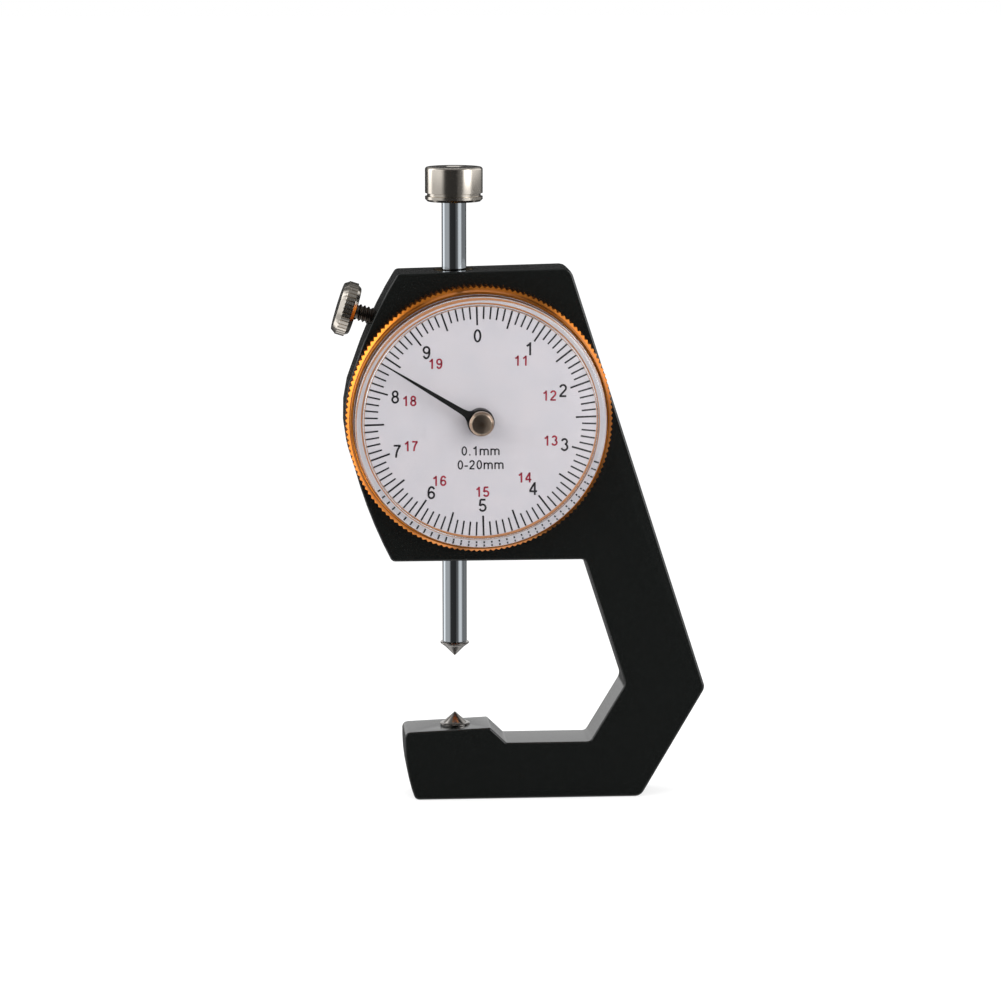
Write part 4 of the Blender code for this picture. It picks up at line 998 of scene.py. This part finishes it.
def makeWorld():
    look = roomLook
    world = bpy.data.worlds.new("paleStudio")
    bpy.context.scene.world = world
    world.use_nodes = True
    tree = world.node_tree
    tree.nodes.clear()
    path = addNode(tree, "ShaderNodeLightPath")
    direction = addNode(tree, "ShaderNodeTexCoord")
    split = addNode(tree, "ShaderNodeSeparateXYZ", None, {"Vector": direction.outputs["Generated"]})
    # round the studio from behind, past the left wall and the reader, to the right wall and behind again:
    # polished metal shows pale walls, the dark room behind the reader and a narrow light on the right
    front = addNode(tree, "ShaderNodeMath", {"operation": "MULTIPLY", 1: -1}, {0: split.outputs["Y"]})
    turn = addNode(tree, "ShaderNodeMath", {"operation": "ARCTAN2"},
            {0: split.outputs["X"], 1: front.outputs[0]})
    share = addNode(tree, "ShaderNodeMapRange", {"From Min": -math.pi, "From Max": math.pi},
            {"Value": turn.outputs[0]})
    walls = addNode(tree, "ShaderNodeValToRGB", None, {"Fac": share.outputs["Result"]})
    stops = walls.color_ramp.elements
    for degrees, level in look["walls"]:
        place = (degrees + 180) / 360
        stop = stops[0] if place == 0 else stops[-1] if place == 1 else stops.new(place)
        stop.color = (level, level, level, 1)
    aside = addNode(tree, "ShaderNodeMath", {"operation": "ABSOLUTE"}, {0: split.outputs["X"]})
    # matt surfaces see one even light all round, also the dial through its crystal
    matt = addNode(tree, "ShaderNodeMath", {"operation": "MINIMUM", "use_clamp": True, 1: 1.0},
            {0: path.outputs["Diffuse Depth"]})
    soft = addNode(tree, "ShaderNodeMath", {"operation": "MULTIPLY", 1: look["softLight"]},
            {0: matt.outputs[0]})
    levels = {
        "right": split.outputs["X"], "back": split.outputs["Y"], "up": split.outputs["Z"],
        "aside": aside.outputs[0], "walls": walls.outputs["Color"], "soft": soft.outputs[0],
        "cameraRay": path.outputs["Is Camera Ray"], "glossyRay": path.outputs["Is Glossy Ray"],
        "passingRay": path.outputs["Is Transmission Ray"],
    }
    for name, (source, kind, low, high, first, second) in look["spans"].items():
        node = addNode(tree, "ShaderNodeMapRange",
                       {"interpolation_type": kind, "From Min": low, "From Max": high, "To Min": first,
                        "To Max": second}, {"Value": levels[source]})
        levels[name] = node.outputs["Result"]
    tree.links.new(levels["windows"], levels["aboveTable"].node.inputs["To Max"])
    for name, operation, first, second in look["joins"]:
        node = addNode(tree, "ShaderNodeMath", {"operation": operation, 2: 1},
                {0: levels[first], 1: levels[second]})
        levels[name] = node.outputs[0]
    white = addNode(tree, "ShaderNodeBackground", {"Color": (1, 1, 1, 1)}, {"Strength": levels["both"]})
    addNode(tree, "ShaderNodeOutputWorld", None, {"Surface": white.outputs["Background"]})


cardLook = {
    "place": (-0.004, 0.034, 0.0775), "size": (0.075, 0.061), "colour": "#3a3a3a",
    "settings": {"Roughness": 1.0, "Specular IOR Level": 0.0}, "tooth": 1.0 * mm, "bump": 0.1,
    "depth": 0.05 * mm,
}


def makeCard():
    # a dark card behind the top: only reflections show it, on the frame's top and upper left side
    look = cardLook
    startClean()
    bpy.ops.mesh.primitive_plane_add(size=1, location=look["place"], rotation=towardReader)
    card = bpy.context.object
    card.name = "darkCard"
    card.scale = (*look["size"], 1)
    card.visible_camera = False
    card.visible_diffuse = False
    card.visible_transmission = False
    card.visible_shadow = False
    # matt black card, with the tooth of its fibres
    card.data.materials.append(makeCoat("blackCard", look["colour"], look))


floorLook = {
    "size": 8, "height": -0.05 * mm, "colour": "#ffffff", "rough": 0.9, "glow": 1.08, "shadowTo": 0.06,
    "whiteFrom": 0.22, "nearShare": 0.6,
}


def makeFloor():
    look = floorLook
    startClean()
    bpy.ops.mesh.primitive_plane_add(size=look["size"], location=(0, 0, look["height"]))
    floor = bpy.context.object
    floor.name = "studioFloor"
    # matt white paper that keeps the object's shadow
    material, tree, shader = startMaterial("paleFloor", look["colour"],
                                           {"Roughness": look["rough"], "Specular IOR Level": 0.0})
    path = addNode(tree, "ShaderNodeLightPath")
    place = addNode(tree, "ShaderNodeTexCoord").outputs["Object"]
    reach = addNode(tree, "ShaderNodeVectorMath", {"operation": "LENGTH"}, {0: place})
    # near the object the floor keeps its shadow, and further out it is plain white
    near = addNode(tree, "ShaderNodeMapRange",
                   {"interpolation_type": "SMOOTHSTEP", "From Min": look["shadowTo"],
                    "From Max": look["whiteFrom"], "To Min": look["nearShare"], "To Max": 1.0},
                   {"Value": reach.outputs["Value"]})
    glow = addNode(tree, "ShaderNodeEmission", {"Color": (1, 1, 1, 1), "Strength": look["glow"]})
    share = addNode(tree, "ShaderNodeMath", {"operation": "MULTIPLY"},
            {0: path.outputs["Is Camera Ray"], 1: near.outputs["Result"]})
    mix = addNode(tree, "ShaderNodeMixShader", None,
            {0: share.outputs[0], 1: shader.outputs["BSDF"], 2: glow.outputs["Emission"]})
    # polished metal and clear plastic look past the floor, to the walls
    bent = addNode(tree, "ShaderNodeMath", {"operation": "MAXIMUM"},
            {0: path.outputs["Is Glossy Ray"], 1: path.outputs["Is Transmission Ray"]})
    past = addNode(tree, "ShaderNodeBsdfTransparent", {"Color": (1, 1, 1, 1)})
    addNode(tree, "ShaderNodeMixShader", None,
            {0: bent.outputs[0], 1: mix.outputs["Shader"], 2: past.outputs["BSDF"]},
            {"Shader": tree.nodes["Material Output"].inputs["Surface"]})
    floor.data.materials.append(material)


makeCamera()
makeLamps()
makeWorld()
makeCard()
makeFloor()
print("studio set")
makeFrameCasting()
makeCopies()
dressHiddenNodes()
print("frame, cover and hidden pieces dressed")
makeBezel()
makeCrystal()
makeDialPlate()
makeDivisions()
makeNumbers()
makePointer()
makePointerCap()
print("dial made")
makeSpindle()
makeTips()
makeLiftingCap()
makeLockScrew()
print("spindle and lock screw made")
bpy.context.scene.view_settings.view_transform = "Standard"
startClean()
